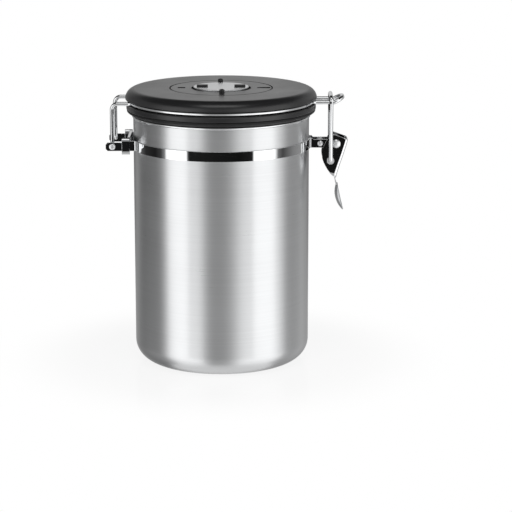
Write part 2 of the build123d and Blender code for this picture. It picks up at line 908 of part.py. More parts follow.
os.makedirs("parts", exist_ok=True)
for name, shape in build_parts().items():
    export_step(shape, os.path.join("parts", name + ".step"))
    print(name, round(shape.volume, 1))
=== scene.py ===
"""Coffee canister with a hinged lid, a wire latch, a date dial and a gas valve.

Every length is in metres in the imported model's own frame: +Z up, the hinge on -X, the latch on +X and
the front towards -Y. Sizes written in millimetres pass through MM. A whole number handed to arc or to
np.linspace is how finely it divides an arc or a run.
"""

import logging
import math
from dataclasses import dataclass
from enum import Enum
from typing import Any, Sequence

import bmesh
import bpy
import numpy as np
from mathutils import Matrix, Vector


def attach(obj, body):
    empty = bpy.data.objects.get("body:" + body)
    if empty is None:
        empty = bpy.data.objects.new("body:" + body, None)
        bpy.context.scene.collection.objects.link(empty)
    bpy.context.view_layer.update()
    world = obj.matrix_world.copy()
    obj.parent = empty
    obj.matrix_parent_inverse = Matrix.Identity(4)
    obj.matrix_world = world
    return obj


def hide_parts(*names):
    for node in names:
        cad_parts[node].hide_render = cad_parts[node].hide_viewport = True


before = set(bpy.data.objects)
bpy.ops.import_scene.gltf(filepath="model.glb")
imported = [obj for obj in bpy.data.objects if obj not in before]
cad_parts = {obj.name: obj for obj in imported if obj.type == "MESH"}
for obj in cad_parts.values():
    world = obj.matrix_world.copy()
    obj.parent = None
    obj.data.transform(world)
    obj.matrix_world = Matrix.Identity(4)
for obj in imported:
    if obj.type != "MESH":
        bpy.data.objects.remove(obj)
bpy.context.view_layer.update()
log = logging.getLogger("canister")

MM = 0.001
MERGE_REACH = 1e-6
# Nearly all of Blender's noise lies between these.
NOISE_LOW = 0.3
NOISE_HIGH = 0.7
Pair = tuple[float, float]
Triple = tuple[float, float, float]


def linear(hex_colour: str) -> tuple[float, float, float, float]:
    """Turns an sRGB hex colour into linear red, green, blue and alpha.

    A channel up to 0.04045 is divided by 12.92. A higher one c becomes ((c + 0.055) / 1.055) to the
    power 2.4.

    Args:
        hex_colour: six hex digits, such as "3a3a3b".

    Returns:
        The linear colour with an alpha of 1.
    """
    channels = np.array([int(hex_colour[i : i + 2], 16) / 255 for i in (0, 2, 4)])
    low = channels / 12.92
    high = ((channels + 0.055) / 1.055) ** 2.4
    red, green, blue = np.where(channels <= 0.04045, low, high)
    return float(red), float(green), float(blue), 1.0


def add_node(
    tree: bpy.types.NodeTree, kind: str, settings: dict[str, Any] | None = None, **inputs: Any
) -> Any:
    """Adds one node, sets its properties, and fills or links its inputs.

    Args:
        tree: the node tree.
        kind: the node's type name.
        settings: properties of the node.
        inputs: input name, with _ for a space, or in_N for input number N, to a value or a socket.

    Returns:
        The new node.
    """
    node = tree.nodes.new(kind)
    for name, value in (settings or {}).items():
        setattr(node, name, value)
    for name, value in inputs.items():
        key = int(name[3:]) if name.startswith("in_") else name.replace("_", " ")
        socket = node.inputs[key]
        if isinstance(value, bpy.types.NodeSocket):
            tree.links.new(value, socket)
        else:
            socket.default_value = value
    return node


def per_mm(spacing_mm: float) -> float:
    """Texture scale on Object coordinates, in metres, for features that far apart in millimetres."""
    return 1.0 / (spacing_mm * MM)


def new_material(name: str) -> tuple[bpy.types.Material, bpy.types.NodeTree]:
    """Makes a material that has a node tree.

    Args:
        name: the material's name.

    Returns:
        The material and its tree.
    """
    made = bpy.data.materials.new(name)
    made.use_nodes = True
    return made, made.node_tree


def roughen(
    tree: bpy.types.NodeTree, noise: bpy.types.NodeSocket, layers: int, roughness: float, share: float
) -> None:
    """Lets slow noise change the roughness.

    Args:
        tree: the material's tree.
        noise: the noise, or a sum of several.
        layers: how many are in the sum.
        roughness: the finish's roughness.
        share: the largest change, as a share of the roughness.
    """
    rough = add_node(
        tree,
        "ShaderNodeMapRange",
        Value=noise,
        From_Min=NOISE_LOW * layers,
        From_Max=NOISE_HIGH * layers,
        To_Min=roughness * (1 - share),
        To_Max=roughness * (1 + share),
    )
    tree.links.new(rough.outputs[0], tree.nodes["Principled BSDF"].inputs["Roughness"])


def engrave(
    tree: bpy.types.NodeTree, noise: bpy.types.NodeSocket, colour: str, shade: float, height_mm: float
) -> None:
    """Lets fine noise darken the colour where it is low, and raises it as a bump.

    Args:
        tree: the material's tree.
        noise: the noise.
        colour: the finish's sRGB hex colour.
        shade: how much darker the colour gets, as a share.
        height_mm: the bump's height.
    """
    shader = tree.nodes["Principled BSDF"]
    tone = add_node(
        tree, "ShaderNodeMapRange", Value=noise, From_Min=NOISE_LOW, From_Max=NOISE_HIGH, To_Min=1.0 - shade
    )
    settings = {"data_type": "RGBA", "blend_type": "MULTIPLY"}
    tinted = add_node(tree, "ShaderNodeMix", settings, in_0=1.0, in_6=linear(colour), in_7=tone.outputs[0])
    tree.links.new(tinted.outputs[2], shader.inputs["Base Color"])
    bump = add_node(tree, "ShaderNodeBump", Height=noise, Strength=1.0, Distance=height_mm * MM)
    tree.links.new(bump.outputs[0], shader.inputs["Normal"])


class Grain(Enum):
    """Which way a steel surface was brushed."""

    ROUND = "round the upright axis"
    NONE = "polished, with no direction"


@dataclass(frozen=True)
class Steel:
    """Stainless steel. Brushing leaves long fine lines that spread each reflection across them."""

    name: str
    colour: str
    roughness: float
    spread: float
    grain: Grain
    line_mm: float
    streak_mm: float
    line_height_mm: float
    wear: float
    smudge_mm: float = 28.0

    def material(self) -> bpy.types.Material:
        """Builds the steel: stretched noise for the brush lines, and faint smudges in the roughness.

        Returns:
            The material.
        """
        made, tree = new_material(self.name)
        shader = tree.nodes["Principled BSDF"]
        shader.inputs["Metallic"].default_value = 1.0
        shader.inputs["Base Color"].default_value = linear(self.colour)
        spot = add_node(tree, "ShaderNodeTexCoord").outputs["Object"]
        across, along = per_mm(self.line_mm), per_mm(self.streak_mm)
        scale = (along, along, across) if self.grain is Grain.ROUND else (across, across, across)
        stretched = add_node(tree, "ShaderNodeMapping", Vector=spot, Scale=scale)
        noise = add_node(tree, "ShaderNodeTexNoise", Vector=stretched.outputs[0], Scale=1.0, Detail=3.0)
        lines = noise.outputs["Fac"]
        smudge = add_node(tree, "ShaderNodeTexNoise", Vector=spot, Scale=per_mm(self.smudge_mm), Detail=2.0)
        both = add_node(tree, "ShaderNodeMath", {"operation": "ADD"}, in_0=lines, in_1=smudge.outputs["Fac"])
        roughen(tree, both.outputs[0], 2, self.roughness, self.wear * 2)
        engrave(tree, lines, self.colour, self.wear, self.line_height_mm)
        # The tangent runs round the axis; a quarter turn draws each light out upright, across the lines.
        if self.spread > 0:
            shader.inputs["Anisotropic"].default_value = self.spread
            shader.inputs["Anisotropic Rotation"].default_value = 0.25
            tangent = add_node(tree, "ShaderNodeTangent", {"direction_type": "RADIAL", "axis": "Z"})
            tree.links.new(tangent.outputs[0], shader.inputs["Tangent"])
        return made


@dataclass(frozen=True)
class Moulded:
    """Moulded plastic or silicone. The mould's fine etch gives the eye a soft, even sheen."""

    name: str
    colour: str
    roughness: float
    etch_mm: float
    etch_height_mm: float
    variation: float
    ior: float
    handling_mm: float = 22.0

    def material(self) -> bpy.types.Material:
        """Builds the plastic: mould etch as bump, with dust and handling as slow changes of roughness.

        Returns:
            The material.
        """
        made, tree = new_material(self.name)
        tree.nodes["Principled BSDF"].inputs["IOR"].default_value = self.ior
        spot = add_node(tree, "ShaderNodeTexCoord").outputs["Object"]
        etch = add_node(tree, "ShaderNodeTexNoise", Vector=spot, Scale=per_mm(self.etch_mm), Detail=2.0)
        slow = add_node(tree, "ShaderNodeTexNoise", Vector=spot, Scale=per_mm(self.handling_mm), Detail=3.0)
        roughen(tree, slow.outputs["Fac"], 1, self.roughness, self.variation)
        engrave(tree, etch.outputs["Fac"], self.colour, self.variation, self.etch_height_mm)
        return made


@dataclass(frozen=True)
class Finishes:
    """Every finish of the canister.

    A steel has its colour, roughness, spread across the grain, grain, line spacing, streak length, line
    height and wear. A plastic has its colour, roughness, etch spacing, etch height, variation and IOR.
    """

    # Belt-brushed sheet draws each light into an upright streak. Its lines, really 0.1 mm apart, are
    # drawn 0.8 mm apart so that they show.
    body: Steel = Steel(
        "Brushed stainless steel", "cbcccd", 0.30, 0.80, Grain.ROUND, 0.80, 90.0, 0.0028, 0.05
    )
    # Buffed strip reflects the studio like a mirror.
    bright: Steel = Steel("Polished stainless strip", "dadbdc", 0.04, 0.0, Grain.NONE, 1.6, 1.6, 0.0008, 0.05)
    # Drawing through a die leaves wire almost as bright, with faint dull spots.
    drawn: Steel = Steel("Drawn stainless wire", "dcddde", 0.06, 0.0, Grain.NONE, 1.2, 1.2, 0.0010, 0.05)
    # Tumbling rounds the edges of rivets and screws and leaves them satin.
    rivet: Steel = Steel("Tumbled steel rivet", "e2e3e4", 0.40, 0.0, Grain.NONE, 0.7, 0.7, 0.004, 0.10)
    # Blasting leaves the dial's cover evenly satin.
    cover: Steel = Steel("Satin steel cover", "d4d5d6", 0.24, 0.0, Grain.NONE, 0.5, 0.5, 0.002, 0.05)
    # Fine spark etch in the mould gives the lid and the day ring a matt skin with a soft light on the
    # edges. The etch, really 0.1 mm apart, is drawn 0.45 mm apart so that it shows.
    lid: Moulded = Moulded("Charcoal ABS", "1d1d1e", 0.30, 0.45, 0.004, 0.08, 1.48)
    dial: Moulded = Moulded("Charcoal ABS dial", "1f1f20", 0.30, 0.45, 0.004, 0.08, 1.5)
    # The pegs and the month dial are given a blacker, slightly duller ABS than the day ring. On the pegs the
    # blacker colour is painted shade, for the shade on their domes.
    grip: Moulded = Moulded("Black ABS grip", "141415", 0.34, 0.40, 0.006, 0.10, 1.5)
    # Pad printing leaves a thin dull film.
    ink: Moulded = Moulded("White printing ink", "ecebe6", 0.55, 0.35, 0.004, 0.05, 1.48)
    # Die-cut styrene sheet is dull and even.
    plate: Moulded = Moulded("Black styrene plate", "1b1b1c", 0.5, 0.4, 0.004, 0.06, 1.5)
    # Unpainted polypropylene looks waxy.
    valve: Moulded = Moulded("Grey polypropylene", "6d6d6e", 0.48, 0.5, 0.006, 0.08, 1.49)
    # Pressed silicone rubber is black and swallows most light. Its colour is set darker still, as painted
    # shade for the shade under the lid's flange, and its low IOR dims its sheen there too.
    silicone: Moulded = Moulded("Black silicone rubber", "0c0c0d", 0.48, 0.6, 0.006, 0.08, 1.33)
    # Pressed wool fibre has no gloss at all.
    felt: Moulded = Moulded("Pressed felt", "b9b6ad", 0.95, 0.6, 0.08, 0.20, 1.45)


FINISH = Finishes()


def show(name: str, data: bpy.types.ID) -> bpy.types.Object:
    """Puts a mesh, curve, lamp or camera into the scene as an object at the origin.

    Args:
        name: the object's name.
        data: what it shows.

    Returns:
        The object.
    """
    made = bpy.data.objects.new(name, data)
    bpy.context.scene.collection.objects.link(made)
    return made


def put_mesh(name: str, points: np.ndarray, faces: np.ndarray) -> bpy.types.Object:
    """Makes one smooth-shaded object from points and quads.

    Args:
        name: the piece's name.
        points: an array of places, one row each.
        faces: an array of corner numbers, four in a row; a row whose last two agree is a triangle.

    Returns:
        The new object, at the origin.
    """
    mesh = bpy.data.meshes.new(name)
    triangles = faces[:, 2] == faces[:, 3]
    polygons = faces[~triangles].tolist() + faces[triangles][:, :3].tolist()
    mesh.from_pydata(points.tolist(), [], polygons)
    mesh.polygons.foreach_set("use_smooth", [True] * len(mesh.polygons))
    mesh.update()
    return show(name, mesh)


def grid_faces(rows: int, columns: int, close_rows: bool, close_columns: bool) -> np.ndarray:
    """Quads of a grid whose corner number is row times columns plus column.

    Args:
        rows: how many rows of points.
        columns: how many points in a row.
        close_rows: whether the last row joins the first.
        close_columns: whether the last column joins the first.

    Returns:
        Corner numbers, four in a row.
    """
    row = np.arange(rows if close_rows else rows - 1)[:, None]
    column = np.arange(columns if close_columns else columns - 1)[None, :]
    next_row = (row + 1) % rows
    next_column = (column + 1) % columns
    corners = [
        row * columns + column,
        row * columns + next_column,
        next_row * columns + next_column,
        next_row * columns + column,
    ]
    return np.stack([np.broadcast_to(c, (row.size, column.size)) for c in corners], -1).reshape(-1, 4)


def put_grid(name: str, grid: np.ndarray, close_rows: bool, close_columns: bool) -> bpy.types.Object:
    """Makes one smooth-shaded object from rows and columns of places.

    Args:
        name: the piece's name.
        grid: places, by row and column.
        close_rows: whether the last row joins the first.
        close_columns: whether the last column joins the first.

    Returns:
        The new object, at the origin.
    """
    rows, columns = grid.shape[:2]
    return put_mesh(name, grid.reshape(-1, 3), grid_faces(rows, columns, close_rows, close_columns))


def tidy(piece: bpy.types.Object, out: Triple | None = None) -> bpy.types.Object:
    """Merges doubled points and turns the faces outwards.

    Args:
        piece: the object to clean.
        out: for an open sheet, the side that its faces turn to. A closed piece has none.

    Returns:
        The same object.
    """
    work = bmesh.new()
    work.from_mesh(piece.data)
    bmesh.ops.remove_doubles(work, verts=work.verts[:], dist=MERGE_REACH)
    if out is None:
        bmesh.ops.dissolve_degenerate(work, dist=MERGE_REACH / 10, edges=work.edges[:])
    bmesh.ops.recalc_face_normals(work, faces=work.faces[:])
    if out is not None:
        facing = sum((face.normal * face.calc_area() for face in work.faces), Vector())
        if facing.dot(out) < 0:
            bmesh.ops.reverse_faces(work, faces=work.faces[:])
    work.to_mesh(piece.data)
    work.free()
    piece.data.update()
    return piece


def arc(x: float, y: float, radius: float, start: float, end: float, steps: int) -> np.ndarray:
    """Points (x + r cos a, y + r sin a) for a from start to end, in degrees."""
    angle = np.radians(np.linspace(start, end, steps + 1))
    return np.stack([x + radius * np.cos(angle), y + radius * np.sin(angle)], -1)


def arc_between(start: Any, corner: Any, end: Any, radius: float, steps: int = 12) -> np.ndarray:
    """Arc that rounds a corner of a path in the plane or in space and touches both runs.

    The touching points lie at radius / tan(half the corner's angle) from the corner, and the arc's
    points turn evenly between them about its middle.

    Args:
        start: a place on the first run.
        corner: the corner.
        end: a place on the second run.
        radius: the arc's radius.
        steps: how many parts the arc has.

    Returns:
        The arc's points, one row each.
    """
    a, b, c = (np.array(p, float) for p in (start, corner, end))
    before = (a - b) / np.linalg.norm(a - b)
    after = (c - b) / np.linalg.norm(c - b)
    half = math.acos(float(np.clip(before @ after, -1, 1))) / 2
    middle = b + (before + after) / np.linalg.norm(before + after) * radius / math.sin(half)
    first = b + before * radius / math.tan(half) - middle
    last = b + after * radius / math.tan(half) - middle
    turn = math.pi - 2 * half
    share = np.linspace(0, 1, steps + 1)[:, None]
    return middle + (np.sin((1 - share) * turn) * first + np.sin(share * turn) * last) / math.sin(turn)


def round_front(radius: float, bend: float, lines: Pair, steps: tuple[int, int]) -> np.ndarray:
    """Path along the front of a circle about the axis, with a bend at each end into a run along X.

    The centre of each bend lies one bend radius in front of its run, and as far from the axis as both
    radii together.

    Args:
        radius: the circle's radius.
        bend: the bends' radius.
        lines: y of the left run and of the right run.
        steps: how finely a bend and the circle are divided.

    Returns:
        Places (x, y) from the end of the left run to the start of the right one.
    """
    centres = []
    for y in lines:
        x = math.sqrt((radius + bend) ** 2 - (y - bend) ** 2)
        centres.append((x, y - bend, math.degrees(math.atan2(bend - y, x))))
    (left_x, left_y, left_turn), (right_x, right_y, right_turn) = centres
    left = arc(-left_x, left_y, bend, 90, left_turn, steps[0])
    circle = arc(0, 0, radius, 180 + left_turn, 360 - right_turn, steps[1])[1:-1]
    right = arc(right_x, right_y, bend, 180 - right_turn, 90, steps[0])
    return np.concatenate([left, circle, right])


def smooth_line(knots: np.ndarray, values: np.ndarray, at: np.ndarray) -> np.ndarray:
    """Smooth curve through values at knots: a cubic in each gap, with slopes from the neighbours.

    Args:
        knots: where the values stand, in rising order.
        values: a value at each knot.
        at: where the curve is wanted.

    Returns:
        The curve's value at each of those.
    """
    slope = np.gradient(values, knots)
    number = np.clip(np.searchsorted(knots, at) - 1, 0, len(knots) - 2)
    gap = knots[number + 1] - knots[number]
    share = (at - knots[number]) / gap
    first = (2 * share**3 - 3 * share**2 + 1) * values[number]
    second = (share**3 - 2 * share**2 + share) * gap * slope[number]
    third = (-2 * share**3 + 3 * share**2) * values[number + 1]
    fourth = (share**3 - share**2) * gap * slope[number + 1]
    return first + second + third + fourth


def spin(name: str, outline: np.ndarray, segments: int = 320) -> bpy.types.Object:
    """Surface of revolution about Z: each outline point (r, z) becomes a ring (r cos a, r sin a, z).

    Args:
        name: the piece's name.
        outline: closed outline of radius and height.
        segments: how many points each ring has.

    Returns:
        The closed piece, with its poles joined.
    """
    angle = np.linspace(0, 2 * math.pi, segments, endpoint=False)
    radius, height = outline[:, :1], outline[:, 1:]
    ring = np.stack([radius * np.cos(angle), radius * np.sin(angle), height + 0 * angle], -1)
    return tidy(put_grid(name, ring, True, True))


def wire(name: str, path: np.ndarray, radius: float, sides: int = 28, dome: float = 0.3) -> bpy.types.Object:
    """Round wire along a path, with a domed end at each end.

    Each path point carries a circle square to the path. The circle's first direction starts upright and
    is carried along by taking away its part along the new tangent, so it never twists. Rings that shrink
    as a quarter circle close the ends.

    Args:
        name: the piece's name.
        path: places along the wire's middle line, which starts level.
        radius: the wire's radius.
        sides: how many points each ring has.
        dome: height of the domed ends, as a share of the radius.

    Returns:
        The closed wire.
    """
    tangent = np.gradient(path, axis=0)
    tangent /= np.linalg.norm(tangent, axis=1)[:, None]
    first = np.zeros_like(path)
    guess = np.array([0.0, 0.0, 1.0])
    for number, direction in enumerate(tangent):
        guess = guess - direction * (guess @ direction)
        guess = guess / np.linalg.norm(guess)
        first[number] = guess
    second = np.cross(tangent, first)
    turn = np.linspace(0, 2 * math.pi, sides, endpoint=False)
    circle = np.cos(turn)[:, None] * first[:, None, :] + np.sin(turn)[:, None] * second[:, None, :]
    body = path[:, None, :] + radius * circle
    lift = np.linspace(0, math.pi / 2, 6)[1:]
    small = np.cos(lift)[:, None, None] * radius
    rise = (np.sin(lift) * radius * dome)[:, None, None]
    start_cap = path[0] - rise * tangent[0] + small * circle[0][None]
    end_cap = path[-1] + rise * tangent[-1] + small * circle[-1][None]
    return tidy(put_grid(name, np.concatenate([start_cap[::-1], body, end_cap]), False, True))


def both_halves(front: np.ndarray) -> np.ndarray:
    """Front half of a path, which ends on y = 0, and its mirror image."""
    return np.concatenate([front, front[:-1][::-1] * np.array([1.0, -1.0, 1.0])])


def ribbon(
    name: str, path: np.ndarray, half_thickness: float, low: np.ndarray, high: np.ndarray, edge: float
) -> bpy.types.Object:
    """Upright strip along a path seen from above, with softened edges.

    Each path point carries a rounded rectangle: its width is twice half_thickness square to the path,
    and it stands from low to high.

    Args:
        name: the piece's name.
        path: places (x, y) along the strip's middle.
        half_thickness: half the sheet.
        low: the strip's lower edge at each place.
        high: the strip's upper edge at each place.
        edge: the radius of its long edges.

    Returns:
        The closed strip.
    """
    tangent = np.gradient(path, axis=0)
    tangent /= np.linalg.norm(tangent, axis=1)[:, None]
    normal = np.stack([-tangent[:, 1], tangent[:, 0]], -1)
    quarter = np.linspace(0, math.pi / 2, 4)
    side_parts = []
    rise_parts = []
    for turn, (side, up) in enumerate([(1, 1), (-1, 1), (-1, -1), (1, -1)]):
        bend = quarter + turn * math.pi / 2
        side_parts.append(side * (half_thickness - edge) + edge * np.cos(bend))
        rise_parts.append(np.stack([np.full_like(bend, up), edge * (np.sin(bend) - up)], -1))
    offset = np.concatenate(side_parts)
    rise = np.concatenate(rise_parts)
    middle = (low + high) / 2
    half = (high - low) / 2
    plan = path[:, None, :] + normal[:, None, :] * offset[None, :, None]
    height = middle[:, None] + half[:, None] * rise[None, :, 0] + rise[None, :, 1]
    points = np.concatenate([plan, height[..., None]], -1)
    rows, columns = height.shape
    faces = [grid_faces(rows, columns, False, True)]
    half_way = columns // 2
    for row in (0, rows - 1):
        there = row * columns + np.arange(columns)
        back = there[::-1]
        end = [there[: half_way - 1], there[1:half_way], back[1:half_way], back[: half_way - 1]]
        faces.append(np.stack(end, -1))
    return tidy(put_mesh(name, points.reshape(-1, 3), np.concatenate(faces)))


def copy_of(
    node: str, name: str, merge_reach: float = 2e-6, flat: float = 0.2, sharp: float = 28.0
) -> bpy.types.Object:
    """Copies a CAD node as a merged, smooth-shaded mesh.

    Args:
        node: the CAD node.
        name: the new piece's name.
        merge_reach: points closer than this are merged.
        flat: faces that meet at less than this angle, in degrees, become one.
        sharp: edges above this angle, in degrees, stay sharp.

    Returns:
        The copy, at the origin.
    """
    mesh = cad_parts[node].data.copy()
    mesh.name = name
    work = bmesh.new()
    work.from_mesh(mesh)
    bmesh.ops.remove_doubles(work, verts=work.verts[:], dist=merge_reach)
    bmesh.ops.dissolve_degenerate(work, dist=MERGE_REACH / 10, edges=work.edges[:])
    bmesh.ops.dissolve_limit(
        work,
        angle_limit=math.radians(flat),
        verts=work.verts[:],
        edges=work.edges[:],
        use_dissolve_boundaries=False,
    )
    for edge in work.edges:
        edge.smooth = edge.calc_face_angle(0) < math.radians(sharp)
    work.to_mesh(mesh)
    work.free()
    mesh.polygons.foreach_set("use_smooth", [True] * len(mesh.polygons))
    piece = show(name, mesh)
    weigh(piece)
    return piece


def weigh(piece: bpy.types.Object) -> None:
    """Weights the shading by face area, so that flat faces stay flat beside small radii."""
    piece.modifiers.new("weigh", "WEIGHTED_NORMAL").keep_sharp = True


def dress(piece: bpy.types.Object, material: bpy.types.Material) -> None:
    """Gives the whole piece one material.

    Args:
        piece: the piece.
        material: its material.
    """
    piece.data.materials.clear()
    piece.data.materials.append(material)
    piece.data.polygons.foreach_set("material_index", [0] * len(piece.data.polygons))


def place(piece: bpy.types.Object, finish: bpy.types.Material, body: str, slot: str, *nodes: str) -> None:
    """Dresses a new piece, puts it on its body, and reports it.

    Args:
        piece: the new piece.
        finish: its material.
        body: the body that it rides on.
        slot: the name of its finish slot; not used.
        nodes: the CAD nodes that it stands for.
    """
    dress(piece, finish)
    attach(piece, body)
    if nodes:
        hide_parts(*nodes)
    log.info("piece %s on %s, %d faces", piece.name, body, len(piece.data.polygons))


def stand_in(node: str, name: str, finish: bpy.types.Material, body: str, slot: str) -> None:
    """Puts a smooth-shaded copy of a CAD node in the node's place."""
    place(copy_of(node, name), finish, body, slot, node)


@dataclass
class VesselBody:
    """Drawn steel vessel with a rounded foot and a rolled rim. Sizes in millimetres."""

    radius: float = 60.0
    wall: float = 0.8
    fillet: float = 14.0
    rim: float = 171.4
    bead: float = 0.9
    stand_out: float = 0.8
    edge: float = 0.08
    base_ring: float = 30.0
    base_edge: float = 0.5

    def build(self) -> None:
        """Makes the vessel as one turned shell, with its rolled rim as a turned circle.

        A strip as high as the edge ends both walls, so that smooth shading leaves the walls upright.
        The outline runs out along the base, round the foot, up the wall, down the inner wall and back
        along the inner floor.
        """
        top = self.rim - self.bead
        inner = self.radius - self.wall
        foot_middle = self.radius - self.fillet
        foot = arc(foot_middle, self.fillet, self.fillet, -90, 0, 20)
        rise = np.append(np.linspace(self.fillet + 1, top - self.edge, 16), top)
        wall = np.stack([np.full_like(rise, self.radius), rise], -1)
        down = np.stack([np.full_like(rise, inner), rise[::-1]], -1)
        heel = arc(foot_middle, self.fillet, self.fillet - self.wall, 0, -90, 14)
        base = [[self.base_ring, 0.0], [foot_middle - self.base_edge, 0.0]]
        floor = [[self.base_ring, self.wall], [0.0, self.wall], [0.0, 0.0]]
        shell = spin("vessel_shell", np.concatenate([base, foot, wall, down, heel, floor]) * MM)
        place(shell, FINISH.body.material(), "canister", "vessel_steel", "vessel")
        roll = arc(self.radius + self.stand_out - self.bead, top, self.bead, 0, 360, 32)[:-1]
        place(spin("rolled_rim", roll * MM), FINISH.bright.material(), "canister", "vessel_steel", "vessel")


@dataclass
class ClampBand:
    """Clamp band in two bent halves, its tie clip and its rivets.

    Sizes are in millimetres. The margins keep a run's points off its bends, and the arm's half round tip
    has points from the first to the last angle, in degrees.
    """

    inner: float = 60.05
    sheet: float = 0.8
    bottom: float = 148.5
    width: float = 6.8
    flange_width: float = 5.8
    flange_half_gap: float = 18.0
    arm_half_gap: float = 4.8
    bend: float = 1.3
    margin: float = 0.3
    hinge_reach: float = 73.5
    flange_overhang: float = 4.4
    flange_corner: float = 1.3
    pivot_reach: float = 78.5
    tip_first: float = 8.0
    tip_last: float = 88.0
    step_reach: float = 62.2
    step_length: float = 0.5
    edge: float = 0.16
    clip_far: float = 67.0
    clip_near: float = 61.7
    clip_wall: float = 0.9
    clip_slack: float = 0.05
    clip_head: float = 1.9
    clip_foot: float = 2.6
    web: float = 1.8
    web_top: float = 157.2
    web_taper: float = 3.0
    web_corner: float = 2.0
    web_radii: tuple[float, ...] = (0.5, 0.5, 1.0, 1.0, 1.0, 1.0)
    web_edge: float = 0.25

    def plan(self) -> np.ndarray:
        """Middle line of the front half from above.

        It runs in along the flange, round a bend, along the band's circle, round the other bend and out
        along the arm.

        Returns:
            Places (x, y) from the flange's end to the arm's end.
        """
        half = self.sheet / 2
        lines = (-(self.flange_half_gap + half), -(self.arm_half_gap + half))
        round_vessel = round_front(self.inner + half, self.bend + half, lines, (10, 160))
        far = -(self.hinge_reach + self.flange_overhang)
        corner = far + np.linspace(0, self.flange_corner, 4)
        flange_run = np.linspace(corner[-1] + 2 * self.margin, round_vessel[0][0] - self.margin, 24)
        arm_run = np.linspace(round_vessel[-1][0] + self.margin, self.pivot_reach, 24)
        turn = np.radians(np.linspace(self.tip_first, self.tip_last, 10))
        tip = self.pivot_reach + self.flange_width / 2 * np.sin(turn)
        runs = (np.concatenate([corner, flange_run]), np.concatenate([arm_run, tip]))
        flange, arm = (np.stack([run, np.full_like(run, y)], -1) for run, y in zip(runs, lines))
        return np.concatenate([flange, round_vessel, arm])

    def edges(self, plan: np.ndarray) -> tuple[np.ndarray, np.ndarray]:
        """Lower and upper edge along the band.

        The full width narrows over a short slope where the flange and the arm begin. The flange's end
        has cut corners, and the arm's end is a half circle about the pivot.

        Args:
            plan: the band's middle line.

        Returns:
            The height of both edges at each place of the line.
        """
        slope = np.clip((np.abs(plan[:, 0]) - self.step_reach) / self.step_length, 0, 1)
        outside = np.where(np.hypot(plan[:, 0], plan[:, 1]) > self.inner + self.sheet, slope, 0)
        high = self.bottom + self.width - (self.width - self.flange_width) * outside
        low = np.full(len(plan), self.bottom)
        end = self.hinge_reach + self.flange_overhang + plan[:, 0]
        cut = np.where(plan[:, 0] < 0, np.clip(self.flange_corner - end, 0, None), 0)
        half = self.flange_width / 2
        beyond = np.clip(plan[:, 0] - self.pivot_reach, 0, None)
        round_cut = half - np.sqrt(half**2 - beyond**2)
        return low + cut + round_cut, high - cut - round_cut

    def strip(self, side: int) -> bpy.types.Object:
        """One half of the band.

        Args:
            side: -1 for the front and 1 for the rear.

        Returns:
            The bent strip.
        """
        plan = self.plan()
        low, high = self.edges(plan)
        name = "band_strip_front" if side < 0 else "band_strip_rear"
        path = plan * np.array([1.0, -side]) * MM
        return ribbon(name, path, self.sheet / 2 * MM, low * MM, high * MM, self.edge * MM)

    def oval(self, half: float, foot: float, head: float) -> np.ndarray:
        """Upright oval across one flange: straight sides between half an ellipse below and one above.

        Args:
            half: half the oval's width.
            foot: how far it reaches below the band.
            head: how far it reaches above the band.

        Returns:
            Places (y, z) round the oval.
        """
        middle = self.flange_half_gap + self.sheet / 2
        turn = np.radians(np.linspace(0, 180, 25))
        top = np.stack([middle + half * np.cos(turn), self.bottom + self.width + head * np.sin(turn)], -1)
        low = np.stack([middle - half * np.cos(turn), self.bottom - foot * np.sin(turn)], -1)
        return np.concatenate([top, low])

    def sleeve(self, side: int) -> bpy.types.Object:
        """Crimped sleeve round one flange: an oval loop across the flange, carried along it.

        Args:
            side: -1 for the front and 1 for the rear.

        Returns:
            The sleeve.
        """
        inner = self.sheet / 2 + self.clip_slack
        outer = inner + self.clip_wall
        edge = self.edge
        loop = self.oval(outer, self.clip_foot, self.clip_head)
        hole = self.oval(inner, self.clip_foot - self.clip_wall, self.clip_head - self.clip_wall)
        small = self.oval(outer - edge, self.clip_foot - edge, self.clip_head - edge)
        near, far = -self.clip_near, -self.clip_far
        outside = [(near, small), (near - edge, loop), (far + edge, loop), (far, small)]
        rings = outside + [(far, hole), (near, hole)]
        rows = [np.stack([at + 0 * ring[:, 0], side * ring[:, 0], ring[:, 1]], -1) for at, ring in rings]
        name = "clip_sleeve_front" if side < 0 else "clip_sleeve_rear"
        return tidy(put_grid(name, np.stack(rows) * MM, True, True))

    def bridge(self) -> bpy.types.Object:
        """Upright web between the sleeves: four layers of an outline with rounded corners, and two fans.

        Returns:
            The web.
        """
        half = self.flange_half_gap - self.clip_slack - self.clip_wall / 2
        corners = [
            (-half, self.bottom),
            (half, self.bottom),
            (half, self.web_top - self.web_corner),
            (half - self.web_taper, self.web_top),
            (self.web_taper - half, self.web_top),
            (-half, self.web_top - self.web_corner),
        ]
        runs = zip(corners[-1:] + corners[:-1], corners, corners[1:] + corners[:1], self.web_radii)
        outline = np.concatenate([arc_between(*run, 6) for run in runs])
        middle = outline.mean(axis=0)
        small = outline - self.web_edge * np.sign(outline - middle)
        near = -self.clip_near
        far = near - self.web
        edge = self.web_edge
        layers = [(near, small), (near - edge, outline), (far + edge, outline), (far, small)]
        count = len(outline)
        rows = [np.column_stack([np.full(count, at), ring]) for at, ring in layers]
        points = np.concatenate(rows + [[[near, *middle]], [[far, *middle]]]) * MM
        number = np.arange(count)
        after = (number + 1) % count
        first = np.full(count, 4 * count)
        fans = [
            np.stack([number, after, first, first], -1),
            np.stack([3 * count + number, 3 * count + after, first + 1, first + 1], -1),
        ]
        faces = np.concatenate([grid_faces(len(rows), count, False, True)] + fans)
        return tidy(put_mesh("clip_web", points, faces))

